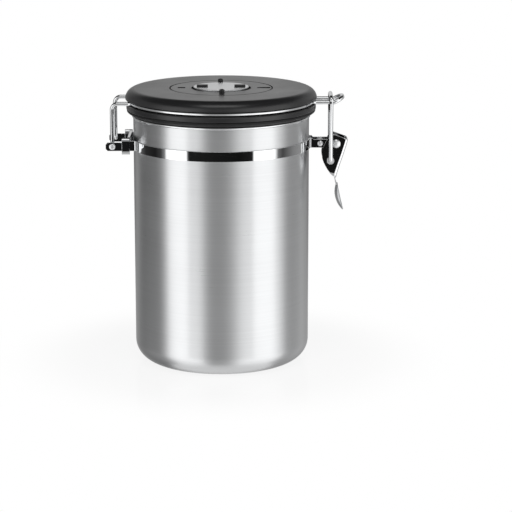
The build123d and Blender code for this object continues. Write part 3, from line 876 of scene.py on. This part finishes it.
    def build(self) -> None:
        """Makes the strips, the clip and the rivets."""
        bright = FINISH.bright.material()
        for side, node in ((-1, "band_front"), (1, "band_rear")):
            half = self.strip(side)
            weigh(half)
            place(half, bright, "canister", "bright_steel", node)
        for piece in (self.sleeve(-1), self.sleeve(1), self.bridge()):
            weigh(piece)
            place(piece, bright, "canister", "bright_steel", "hinge_bridge")
        tumbled = FINISH.rivet.material()
        for node in ("arm_rivet", "pivot_rivet", "arm_spacer", "pivot_spacer"):
            stand_in(node, node + "_turned", tumbled, "canister", "rivet_steel")


@dataclass
class LidShell:
    """The lid's two moulded halves, its gasket and its screws."""

    def build(self) -> None:
        """Makes the pieces from the CAD shapes, with smooth shading."""
        abs_lid = FINISH.lid.material()
        stand_in("lid_cap", "lid_cap_moulded", abs_lid, "lid", "lid_plastic")
        stand_in("lid_base", "lid_base_moulded", abs_lid, "lid", "lid_plastic")
        # The gasket's colour holds painted shade for the shade under the lid's flange.
        stand_in("lid_gasket", "gasket_ring", FINISH.silicone.material(), "lid", "silicone")
        stand_in("lid_screws", "lid_screw_set", FINISH.rivet.material(), "lid", "rivet_steel")


@dataclass
class LidWire:
    """One bent wire: hinge pins, legs, the hoop round the lid and the latch loop. Sizes in millimetres."""

    radius: float = 1.4
    hinge_reach: float = 73.5
    hinge_height: float = 151.4
    head_radius: float = 2.1
    head_edge: float = 0.25
    head_dome: float = 0.65
    head_inset: float = 2.85
    leg_half: float = 16.0
    pin_end: float = 19.3
    elbow: float = 1.8
    leg_bend: float = 4.0
    height: float = 180.3
    hoop: float = 61.95
    hoop_bend: float = 4.0
    loop_half: float = 8.5
    loop_start: float = 77.1
    loop_ramp: float = 0.5
    loop_tilt: float = 28.0
    loop_bend: float = 1.9
    loop_corner: float = 5.6

    def half(self) -> np.ndarray:
        """Middle line of the front half, from the hinge pin to the middle of the latch loop.

        Runs and arcs lead to the hoop and on to the loop. The loop lies in a tilted plane: at u from 0
        to a quarter turn its corner reaches r sin u outwards and r (1 - cos u) inwards, and a straight
        run crosses to the middle.

        Returns:
            Places (x, y, z) along the wire.
        """
        corner = (-self.hinge_reach, -self.leg_half, self.hinge_height)
        pin = (-self.hinge_reach, -self.pin_end, self.hinge_height)
        leg_top = (-self.hinge_reach, -self.leg_half, self.height)
        flat = round_front(self.hoop, self.hoop_bend, (-self.leg_half, -self.loop_half), (12, 150))
        level = np.column_stack([flat, np.full(len(flat), self.height)])
        start = level[0]
        elbow = arc_between(pin, corner, leg_top, self.elbow)
        shoulder = arc_between(corner, leg_top, start, self.leg_bend)
        rise = np.linspace(elbow[-1], shoulder[0], 18)[1:-1]
        reach_in = np.linspace(shoulder[-1], start, 6)[1:-1]
        tilt = math.radians(self.loop_tilt)
        up = np.array([math.cos(tilt), 0.0, math.sin(tilt)])
        bend_start = level[-1]
        bend_corner = np.array([self.loop_start, -self.loop_half, self.height])
        bend = arc_between(bend_start, bend_corner, bend_corner + up * self.loop_half, self.loop_bend)
        arm = np.linspace(bend_start, bend[0], 14)[1:-1]
        turn = np.linspace(0, math.pi / 2, 30)[:, None]
        reach_out = up * (self.loop_ramp + self.loop_corner * np.sin(turn))
        curve = bend_corner + reach_out + np.array([0.0, 1.0, 0.0]) * self.loop_corner * (1 - np.cos(turn))
        cross = np.linspace(curve[-1], curve[-1] * np.array([1.0, 0.0, 1.0]), 5)[1:]
        return np.concatenate([[pin], elbow, rise, shoulder, reach_in, level, arm, bend, curve, cross])

    def head(self, name: str, side: int) -> bpy.types.Object:
        """Domed end of a hinge pin: rings whose radius is R cos a and whose reach is e + h sin a.

        Args:
            name: the piece's name.
            side: -1 for the front and 1 for the rear.

        Returns:
            The closed head.
        """
        turn = np.linspace(0, math.pi / 2, 9)
        radius = np.concatenate([[0.0, self.head_radius], self.head_radius * np.cos(turn)])
        reach = np.concatenate([[0.0, 0.0], self.head_edge + self.head_dome * np.sin(turn)])
        around = np.linspace(0, 2 * math.pi, 40, endpoint=False)
        x = -self.hinge_reach + radius[:, None] * np.cos(around)
        z = self.hinge_height + radius[:, None] * np.sin(around)
        y = side * (self.leg_half + self.head_inset + reach[:, None]) + 0 * x
        return tidy(put_grid(name, np.stack([x, y, z], -1) * MM, False, True))

    def build(self) -> None:
        """Makes the wire from its front half and its mirror image, and the two pin heads."""
        bent = wire("lid_wire_bent", both_halves(self.half()) * MM, self.radius * MM)
        place(bent, FINISH.drawn.material(), "lid", "wire_steel", "lid_wire")
        for name, side in (("hinge_pin_head_front", -1), ("hinge_pin_head_rear", 1)):
            place(self.head(name, side), FINISH.rivet.material(), "lid", "wire_steel", "lid_wire")


# How far the numbers' outlines are thickened, as a share of the type size.
NUMBER_WEIGHT = 0.004


def digits(text: str, height: float) -> tuple[np.ndarray, list[tuple[int, ...]]]:
    """Flat mesh of a number, centred on the origin, with its cap height as given.

    Args:
        text: the number.
        height: cap height in metres.

    Returns:
        Points (x, y) and the faces' corner numbers.
    """
    curve = bpy.data.curves.new("number", "FONT")
    curve.body = text
    curve.align_x = "CENTER"
    curve.align_y = "CENTER"
    curve.resolution_u = 4
    curve.offset = NUMBER_WEIGHT
    holder = show("number", curve)
    graph = bpy.context.evaluated_depsgraph_get()
    mesh = bpy.data.meshes.new_from_object(holder.evaluated_get(graph))
    flat = np.zeros(len(mesh.vertices) * 3)
    mesh.vertices.foreach_get("co", flat)
    flat = flat.reshape(-1, 3)[:, :2]
    flat = (flat - (flat.min(axis=0) + flat.max(axis=0)) / 2) * height / np.ptp(flat[:, 1])
    corners = [tuple(face.vertices) for face in mesh.polygons]
    bpy.data.objects.remove(holder)
    bpy.data.curves.remove(curve)
    bpy.data.meshes.remove(mesh)
    return flat, corners


def number_ring(name: str, count: int, radius_mm: float, height_mm: float, z_mm: float) -> bpy.types.Object:
    """Numbers from 1 round a circle, each readable from outside, as one flat mesh.

    A number at angle a has its own x along (-sin a, cos a) and its own y along (-cos a, -sin a).

    Args:
        name: the piece's name.
        count: how many numbers.
        radius_mm: the circle through their middles.
        height_mm: cap height.
        z_mm: the height of the print.

    Returns:
        The printed numbers.
    """
    points = []
    faces: list[tuple[int, ...]] = []
    total = 0
    for number in range(1, count + 1):
        flat, corners = digits(str(number), height_mm * MM)
        turn = 2 * math.pi * (number - 1) / count
        own_x = np.array([-math.sin(turn), math.cos(turn)])
        own_y = np.array([-math.cos(turn), -math.sin(turn)])
        spot = flat[:, :1] * own_x + (flat[:, 1:] - radius_mm * MM) * own_y
        points.append(np.column_stack([spot, np.full(len(spot), z_mm * MM)]))
        faces += [tuple(corner + total for corner in face) for face in corners]
        total += len(flat)
    mesh = bpy.data.meshes.new(name)
    mesh.from_pydata(np.concatenate(points).tolist(), [], faces)
    mesh.update()
    return show(name, mesh)


@dataclass
class DateDial:
    """Day ring, month dial, steel cover and the printed numbers. Sizes in millimetres."""

    day_count: int = 31
    month_count: int = 12
    day_radius: float = 31.7
    day_height: float = 2.3
    plate_top: float = 185.1
    month_radius: float = 27.0
    month_height: float = 2.5
    month_top: float = 186.1
    print_rise: float = 0.02

    def build(self) -> None:
        """Makes the dial's pieces and the numbers that show through its windows."""
        dial, grip, ink = FINISH.dial.material(), FINISH.grip.material(), FINISH.ink.material()
        stand_in("number_plate", "printed_plate", FINISH.plate.material(), "lid", "number_print")
        day_top = self.plate_top + self.print_rise
        days = number_ring("day_numbers", self.day_count, self.day_radius, self.day_height, day_top)
        place(days, ink, "lid", "number_print")
        stand_in("day_ring", "day_ring_moulded", dial, "day_ring", "dial_plastic")
        # The pegs' blacker colour is painted shade, for the shade on their domes.
        stand_in("ring_pegs", "day_ring_pegs", grip, "day_ring", "grip_plastic")
        stand_in("month_dial", "month_dial_moulded", grip, "month_dial", "grip_plastic")
        month_top = self.month_top + self.print_rise
        count, radius = self.month_count, self.month_radius
        months = number_ring("month_numbers", count, radius, self.month_height, month_top)
        place(months, ink, "month_dial", "number_print")
        stand_in("steel_disc", "steel_cover", FINISH.cover.material(), "month_dial", "disc_steel")
        stand_in("dial_screw", "dial_screw_turned", FINISH.rivet.material(), "month_dial", "rivet_steel")


@dataclass
class GasValve:
    """Gas valve in the lid's plug."""

    def build(self) -> None:
        """Makes the valve's pieces from the CAD shapes, with smooth shading."""
        grey = FINISH.valve.material()
        stand_in("valve_housing", "valve_housing_moulded", grey, "lid", "valve_plastic")
        stand_in("valve_cap", "valve_cap_moulded", grey, "lid", "valve_plastic")
        stand_in("valve_filter", "felt_filter", FINISH.felt.material(), "lid", "felt")
        rubber = FINISH.silicone.material()
        stand_in("valve_diaphragm", "valve_disc_rubber", rubber, "valve_disc", "silicone")


@dataclass
class Latch:
    """Over-centre latch: lever, leaf tab, bail wire and washers. Sizes in millimetres, the lean in degrees.

    The outlines hold the lever's left and right corners from the front, measured from its pivot.
    """

    pivot_reach: float = 78.5
    pivot_height: float = 151.4
    left_outline: tuple[Pair, ...] = (
        (-1.6, 6.35), (-3.1, 6.1), (-4.4, 5.0), (-6.6, 1.8), (-8.9, -2.8), (-9.75, -7.2), (-9.1, -11.4),
        (-7.2, -15.6), (-4.6, -19.8), (-2.9, -21.9), (-1.6, -23.0),
    )
    right_outline: tuple[Pair, ...] = (
        (7.3, 3.2), (7.9, 2.5), (7.75, 1.4), (7.2, -0.9), (5.9, -5.1), (4.6, -9.2), (3.2, -13.2),
        (1.9, -17.2), (0.75, -21.0), (0.25, -23.2), (-0.2, -24.5),
    )
    outer_half: float = 6.7
    closing_from: float = 0.80
    closing_depth: float = 0.98
    sheet: float = 0.8
    edge: float = 0.14
    edge_angle: float = 50.0
    spine_bend: float = 2.0
    spine_share: float = 0.6
    eye_reach: float = 74.7
    eye_height: float = 139.7
    foot_half: float = 9.4
    top_half: float = 12.2
    pin_end: float = 4.9
    bail_top: float = 183.9
    bail_corner: float = 2.6
    elbow: float = 1.8
    wire_radius: float = 1.4
    tab_lean: float = 12.5
    tab_length: float = 19.8
    tab_axis: float = 3.54
    tab_depth: float = 3.0
    least_depth: float = 1e-4
    neck_width: float = 5.4
    neck_length: float = 3.4
    neck_bite: float = 1.6
    neck_root: float = 1.2
    waist_depth: float = 0.16
    waist_at: float = 0.55
    waist_reach: float = 1.6

    def half_width(self, share: np.ndarray) -> np.ndarray:
        """Half the lever's width down its length: even, then drawn in to the neck as a quarter ellipse.

        Args:
            share: shares of the length, from 0 at the top to 1 at the tip.

        Returns:
            Half the width at each share.
        """
        closing = np.clip((share - self.closing_from) / (1 - self.closing_from), 0, 1)
        neck = self.neck_width / 2
        return neck + (self.outer_half - neck) * np.sqrt(1 - closing**2 * self.closing_depth)

    def body(self) -> bpy.types.Object:
        """Folded lever: a row at each height crosses the front cheek, the spine and the rear cheek.

        A row runs along the front cheek from the left edge towards the right one, round the spine's
        bend, across the spine and back along the rear cheek. The edges are smooth lines through the
        outline's corners.

        Returns:
            The lever, with its wall as a modifier.
        """
        knots = np.linspace(0, 1, len(self.left_outline))
        share = np.linspace(0, 1, 49)
        left_edge, right_edge = (
            np.stack([smooth_line(knots, column, share) for column in np.array(outline).T], -1)
            for outline in (self.left_outline, self.right_outline)
        )
        depth = np.linalg.norm(left_edge - right_edge, axis=1)
        bend = np.minimum(self.spine_bend, depth * self.spine_share)[:, None]
        width = self.half_width(share)[:, None]
        turn = np.radians(np.linspace(0, 90, 9))
        fraction = np.linspace(1, 0, 9)[:-1]
        spine = np.zeros((len(share), 1))
        along = [bend + (depth[:, None] - bend) * fraction, bend * (1 - np.sin(turn))]
        side = [-width + 0 * fraction, -width + bend * (1 - np.cos(turn))]
        along_all = np.concatenate(along + [spine] + [part[:, ::-1] for part in along[::-1]], axis=1)
        side_all = np.concatenate(side + [spine] + [-part[:, ::-1] for part in side[::-1]], axis=1)
        way = (left_edge - right_edge) / depth[:, None]
        x = self.pivot_reach + right_edge[:, :1] + way[:, :1] * along_all
        z = self.pivot_height + right_edge[:, 1:] + way[:, 1:] * along_all
        return self.sheet_piece("lever_folded", np.stack([x, side_all, z], -1), (1.0, 0.0, 0.0))

    def leaf_frame(self) -> tuple[np.ndarray, np.ndarray, np.ndarray]:
        """Frame of the leaf's rim plane.

        Returns:
            Its origin at the lever's tip, the direction along it and the direction out of it.
        """
        lean = math.radians(self.tab_lean)
        tip_x, tip_z = self.right_outline[-1]
        origin = np.array([self.pivot_reach + tip_x, 0.0, self.pivot_height + tip_z])
        along = np.array([math.sin(lean), 0.0, -math.cos(lean)])
        return origin, along, np.array([math.cos(lean), 0.0, math.sin(lean)])

    def leaf(self) -> bpy.types.Object:
        """Cupped leaf: a thin arc turned about an axis beside the leaf, as far as the rim's plane.

        At s along the leaf the arc lies d(s) = sqrt(B B - (s - L/2)^2) - (B - D) behind the rim. It is
        turned about the axis e in front of the rim, so its radius is e + d and it ends where
        cos(turn) = e / (e + d).

        Returns:
            The leaf, with its wall as a modifier.
        """
        origin, along, out = self.leaf_frame()
        ball = (self.tab_length**2 / 4 + self.tab_depth**2) / (2 * self.tab_depth)
        s = self.tab_length * (1 - np.cos(np.linspace(0, math.pi, 65))) / 2
        depth = np.sqrt(ball**2 - (s - self.tab_length / 2) ** 2) - (ball - self.tab_depth)
        radius = self.tab_axis + np.clip(depth, self.least_depth, None)[:, None]
        turn = np.arccos(self.tab_axis / radius) * np.linspace(-1, 1, 41)
        y = radius * np.sin(turn)
        z = self.tab_axis - radius * np.cos(turn)
        spot = (self.neck_length + s)[:, None, None] * along
        points = origin + spot + z[..., None] * out + y[..., None] * np.array([0.0, 1.0, 0.0])
        return self.sheet_piece("leaf_tab", points, tuple(-out))

    def neck(self) -> bpy.types.Object:
        """Short neck from the lever's tip into the leaf: a strip whose half width has a slight waist.

        Returns:
            The neck, with its wall as a modifier.
        """
        origin, along, out = self.leaf_frame()
        s = np.linspace(-self.neck_root, self.neck_length + self.neck_bite, 21)
        away = (s - self.neck_length * self.waist_at) / self.waist_reach
        waist = 1 - self.waist_depth * np.exp(-(away**2))
        y = (self.neck_width / 2 * waist)[:, None] * np.linspace(-1, 1, 9)
        points = origin + s[:, None, None] * along + y[..., None] * np.array([0.0, 1.0, 0.0])
        return self.sheet_piece("leaf_neck", points, tuple(out))

    def sheet_piece(self, name: str, points: np.ndarray, out: Triple) -> bpy.types.Object:
        """Makes a sheet from its outer face and gives it its wall, inwards, with soft edges.

        Args:
            name: the piece's name.
            points: rows and columns of places on the outer face, in millimetres.
            out: the side that the outer face turns to.

        Returns:
            The sheet.
        """
        piece = tidy(put_grid(name, points * MM, False, False), out)
        wall = piece.modifiers.new("wall", "SOLIDIFY")
        wall.thickness = self.sheet * MM
        wall.offset = -1.0
        wall.use_even_offset = True
        bevel = piece.modifiers.new("soften", "BEVEL")
        bevel.width = self.edge * MM
        bevel.segments = 3
        bevel.limit_method = "ANGLE"
        bevel.angle_limit = math.radians(self.edge_angle)
        bevel.use_clamp_overlap = True
        bevel.harden_normals = False
        weigh(piece)
        return piece

    def bail(self) -> bpy.types.Object:
        """Bail wire: pins, elbows, splayed legs and the bar across the top.

        Returns:
            The bent wire.
        """
        x = self.eye_reach
        stops = [
            (x, -self.pin_end, self.eye_height),
            (x, -self.foot_half, self.eye_height),
            (x, -self.top_half, self.bail_top),
            (x, 0.0, self.bail_top),
        ]
        elbow = arc_between(*stops[:3], self.elbow)
        corner = arc_between(*stops[1:], self.bail_corner)
        leg = np.linspace(elbow[-1], corner[0], 26)[1:-1]
        bar = np.linspace(corner[-1], np.array(stops[3]), 10)[1:]
        front = np.concatenate([[stops[0]], elbow, leg, corner, bar])
        return wire("bail_bent", both_halves(front) * MM, self.wire_radius * MM)

    def build(self) -> None:
        """Makes the lever, its tab, the bail and the washers."""
        bright = FINISH.bright.material()
        for piece in (self.body(), self.neck(), self.leaf()):
            place(piece, bright, "lever", "bright_steel", "latch_lever")
        place(self.bail(), FINISH.drawn.material(), "bail", "wire_steel", "bail_wire")
        stand_in("bail_washers", "bail_washer_pair", FINISH.rivet.material(), "bail", "rivet_steel")


@dataclass
class Studio:
    """Pale floor, white surroundings and a curved wall of soft light and shade.

    Sizes are in metres. A band of the wall has stops round it, each an azimuth in degrees and a strength,
    and stops up it, each a share of the wall's height and a strength. Upright mirror-like steel reflects
    the narrow crisp band; the broad band above and below it lights the brushed vessel.
    """

    wall_radius: float = 2.4
    wall_low: float = -3.2
    wall_high: float = 2.1
    ambient: float = 0.58
    crisp_glow: float = 2.0
    crisp_round: tuple[Pair, ...] = (
        (-180, 0.04), (-158, 0.10), (-141, 0.22), (-124, 0.06), (-112, 0.015), (-92, 0.008), (-82, 0.03),
        (-76, 0.15), (-73, 0.7), (-69, 1.0), (-45, 1.0), (-42, 0.05), (-40, 0.008), (24, 0.004), (38, 0.008),
        (41, 0.015), (43, 0.9), (46, 1.0), (71, 1.0), (78, 0.10), (86, 0.04), (107, 0.14), (133, 0.20),
        (180, 0.04),
    )
    crisp_up: tuple[Pair, ...] = ((0.510, 0.0), (0.5245, 1.0), (0.5755, 1.0), (0.5868, 0.0))
    broad_glow: float = 1.80
    broad_round: tuple[Pair, ...] = (
        (-180, 0.49), (-160, 0.25), (-141, 0.15), (-124, 0.18), (-112, 0.22), (-95, 0.24), (-88, 0.26),
        (-82, 0.40), (-76, 0.65), (-70, 0.88), (-62, 1.0), (-31, 1.0), (-26, 0.82), (-19, 0.42), (-12, 0.30),
        (4, 0.32), (13, 0.46), (23, 0.76), (30, 1.0), (38, 1.0), (68, 1.0), (82, 1.0), (89, 0.72),
        (95, 0.40), (107, 0.31), (120, 0.33), (133, 0.38), (144, 0.30), (160, 0.25), (180, 0.49),
    )
    broad_up: tuple[Pair, ...] = (
        (0.0, 0.65), (0.35, 0.9), (0.48, 1.0), (0.510, 1.0), (0.5245, 0.0), (0.5755, 0.0), (0.5868, 0.82),
        (0.915, 0.82), (1.0, 0.7),
    )
    canopy_radius: float = 2.6
    canopy_low: float = 34.0
    canopy_glow: float = 0.03
    floor_inner: float = 0.2
    floor_step: float = 0.02
    floor_radius: float = 0.62
    floor_colour: str = "f6f6f6"
    floor_roughness: float = 0.10
    floor_ior: float = 1.50
    fade_start: float = 0.075
    fade_end: float = 0.17
    near_white: float = 0.84
    lamp_at: Triple = (0.0, -0.80, 1.58)
    lamp_aim: Triple = (0.0, 0.0, 0.15)
    lamp_size: Pair = (1.1, 0.62)
    lamp_watts: float = 5.5
    camera_at: Triple = (0.02376, -1.41917, 0.40028)
    camera_down: float = 0.2278
    camera_near: float = 0.05
    sensor_mm: float = 36.0
    focal_pixels: float = 2100.17
    photo_pixels: float = 512.0

    def world(self) -> None:
        """White for what the camera, gloss and clear things see, and a plain even light for all else."""
        world = bpy.data.worlds.new("White studio")
        bpy.context.scene.world = world
        world.use_nodes = True
        tree = world.node_tree
        tree.nodes.clear()
        path = add_node(tree, "ShaderNodeLightPath")
        larger = {"operation": "MAXIMUM"}
        seen = path.outputs["Is Camera Ray"]
        for ray in ("Is Glossy Ray", "Is Transmission Ray"):
            seen = add_node(tree, "ShaderNodeMath", larger, in_0=seen, in_1=path.outputs[ray]).outputs[0]
        strength = add_node(tree, "ShaderNodeMapRange", Value=seen, To_Min=self.ambient, To_Max=1.0)
        light = add_node(tree, "ShaderNodeBackground", Color=linear("ffffff"), Strength=strength.outputs[0])
        output = add_node(tree, "ShaderNodeOutputWorld")
        tree.links.new(light.outputs[0], output.inputs[0])

    def glowing(self, name: str) -> tuple[bpy.types.Material, bpy.types.NodeSocket]:
        """Makes a material that only gives light.

        Args:
            name: the material's name.

        Returns:
            The material and the socket for the light's strength.
        """
        material, tree = new_material(name)
        tree.nodes.clear()
        glow = add_node(tree, "ShaderNodeEmission", Color=linear("ffffff"))
        output = add_node(tree, "ShaderNodeOutputMaterial")
        tree.links.new(glow.outputs[0], output.inputs[0])
        return material, glow.inputs["Strength"]

    def set_up(self, piece: bpy.types.Object, material: bpy.types.Material, *unseen: str) -> None:
        """Dresses a surface of the set, and hides it from some rays.

        Args:
            piece: the surface.
            material: its material.
            unseen: the kinds of ray that pass through it.
        """
        dress(piece, material)
        for ray in unseen:
            setattr(piece, "visible_" + ray, False)

    def wall(self) -> None:
        """Curved wall all round, whose light changes with the azimuth.

        A point at azimuth a and height z lies at (R sin a, -R cos a, z), with a = 0 behind the camera.
        """
        azimuth = np.radians(np.linspace(-180, 180, 131))
        a, z = np.meshgrid(azimuth, np.linspace(self.wall_low, self.wall_high, 15))
        points = np.stack([self.wall_radius * np.sin(a), -self.wall_radius * np.cos(a), z], -1)
        piece = put_grid("light_wall", points, False, False)
        uv = piece.data.uv_layers.new(name="azimuth")
        corner = np.zeros(len(piece.data.loops), int)
        piece.data.loops.foreach_get("vertex_index", corner)
        rise = (z - self.wall_low) / (self.wall_high - self.wall_low)
        share = np.stack([(np.degrees(a) + 180) / 360, rise], -1)
        uv.data.foreach_set("uv", share.reshape(-1, 2)[corner].ravel())
        material, strength = self.glowing("Softboxes and flags")
        tree = material.node_tree
        place_uv = add_node(tree, "ShaderNodeUVMap", {"uv_map": "azimuth"})
        split = add_node(tree, "ShaderNodeSeparateXYZ", Vector=place_uv.outputs[0])
        crisp = self.band_of_light(tree, split, self.crisp_round, self.crisp_up, self.crisp_glow)
        broad = self.band_of_light(tree, split, self.broad_round, self.broad_up, self.broad_glow)
        both = add_node(tree, "ShaderNodeMath", {"operation": "ADD"}, in_0=crisp, in_1=broad)
        tree.links.new(both.outputs[0], strength)
        self.set_up(piece, material, "camera", "shadow")

    def band_of_light(
        self,
        tree: bpy.types.NodeTree,
        split: bpy.types.Node,
        around: Sequence[Pair],
        up: Sequence[Pair],
        glow: float,
    ) -> bpy.types.NodeSocket:
        """Strength of one band of the wall: the product of both ramps and the glow.

        Args:
            tree: the wall's material tree.
            split: node with the share of the azimuth and the share of the height.
            around: pairs of an azimuth in degrees and a strength.
            up: pairs of a share of the height and a strength.
            glow: strength of the band's brightest part.

        Returns:
            The socket that holds the strength.
        """
        strength = glow
        multiply = {"operation": "MULTIPLY"}
        for share, stops in ((0, [((stop + 180) / 360, value) for stop, value in around]), (1, up)):
            ramp = add_node(tree, "ShaderNodeValToRGB", Fac=split.outputs[share])
            elements = ramp.color_ramp.elements
            elements.remove(elements[-1])
            for number, (spot, value) in enumerate(stops):
                element = elements[0] if number == 0 else elements.new(spot)
                element.position = spot
                element.color = (value, value, value, 1.0)
            product = add_node(tree, "ShaderNodeMath", multiply, in_0=ramp.outputs[0], in_1=strength)
            strength = product.outputs[0]
        return strength

    def ceiling(self) -> None:
        """Dark canopy that gloss sees overhead: the part of a dome above an elevation.

        A point at azimuth a and elevation e lies at R (cos e sin a, -cos e cos a, sin e).
        """
        azimuth = np.radians(np.linspace(0, 360, 97)[:-1])
        a, e = np.meshgrid(azimuth, np.radians(np.linspace(self.canopy_low, 90, 14)))
        points = self.canopy_radius * np.stack([np.cos(e) * np.sin(a), -np.cos(e) * np.cos(a), np.sin(e)], -1)
        piece = tidy(put_grid("dark_canopy", points, False, True), (0.0, 0.0, -1.0))
        material, strength = self.glowing("Dark canopy cloth")
        strength.default_value = self.canopy_glow
        self.set_up(piece, material, "camera", "shadow", "diffuse")

    def floor(self) -> None:
        """Round pale floor with a faint gloss, that turns into the white surroundings outwards."""
        inner = np.linspace(0.0, self.floor_inner, 12)
        outer = np.linspace(self.floor_inner + self.floor_step, self.floor_radius, 12)
        turn = np.linspace(0, 2 * math.pi, 96, endpoint=False)
        a, r = np.meshgrid(turn, np.concatenate([inner, outer]))
        points = np.stack([r * np.cos(a), r * np.sin(a), 0 * a], -1)
        piece = tidy(put_grid("floor", points, False, True), (0.0, 0.0, 1.0))
        material, tree = new_material("White acrylic sheet")
        shader = tree.nodes["Principled BSDF"]
        shader.inputs["Base Color"].default_value = linear(self.floor_colour)
        shader.inputs["Roughness"].default_value = self.floor_roughness
        shader.inputs["IOR"].default_value = self.floor_ior
        spot = add_node(tree, "ShaderNodeTexCoord").outputs["Object"]
        length = add_node(tree, "ShaderNodeVectorMath", {"operation": "LENGTH"}, in_0=spot)
        fade = add_node(
            tree,
            "ShaderNodeMapRange",
            {"interpolation_type": "SMOOTHERSTEP"},
            Value=length.outputs["Value"],
            From_Min=self.fade_start,
            From_Max=self.fade_end,
            To_Min=self.near_white,
        )
        glow = add_node(tree, "ShaderNodeEmission", Strength=1.0).outputs[0]
        mixed = add_node(tree, "ShaderNodeMixShader", in_0=fade.outputs[0], in_1=shader.outputs[0], in_2=glow)
        tree.links.new(mixed.outputs[0], tree.nodes["Material Output"].inputs[0])
        self.set_up(piece, material, "glossy")

    def lamp(self) -> None:
        """Adds one rectangular soft light overhead, aimed at the lid."""
        data = bpy.data.lights.new("overhead", "AREA")
        data.shape = "RECTANGLE"
        data.size, data.size_y = self.lamp_size
        data.energy = self.lamp_watts
        lamp = show("overhead", data)
        lamp.location = self.lamp_at
        way = Vector(self.lamp_aim) - Vector(self.lamp_at)
        lamp.rotation_euler = way.to_track_quat("-Z", "Y").to_euler()
        lamp.visible_camera = False

    def camera(self) -> None:
        """Camera at the photograph's place, looking along +Y and 13 degrees down."""
        data = bpy.data.cameras.new("view")
        data.sensor_width = self.sensor_mm
        data.lens = self.focal_pixels / self.photo_pixels * self.sensor_mm
        data.clip_start = self.camera_near
        camera = show("view", data)
        camera.location = self.camera_at
        camera.rotation_euler = (math.pi / 2 - self.camera_down, 0.0, 0.0)
        bpy.context.scene.camera = camera

    def build(self) -> None:
        """Makes the surroundings, the floor, the overhead light and the camera."""
        for step in (self.world, self.wall, self.ceiling, self.floor, self.lamp, self.camera):
            step()


def main() -> None:
    """Builds the studio and every part of the canister."""
    logging.basicConfig(level=logging.INFO, format="%(message)s")
    bpy.context.scene.view_settings.view_transform = "Standard"
    for part in (Studio(), VesselBody(), ClampBand(), LidShell(), LidWire(), DateDial(), GasValve(), Latch()):
        log.info("building %s", type(part).__name__)
        part.build()


if __name__ == "__main__":
    main()
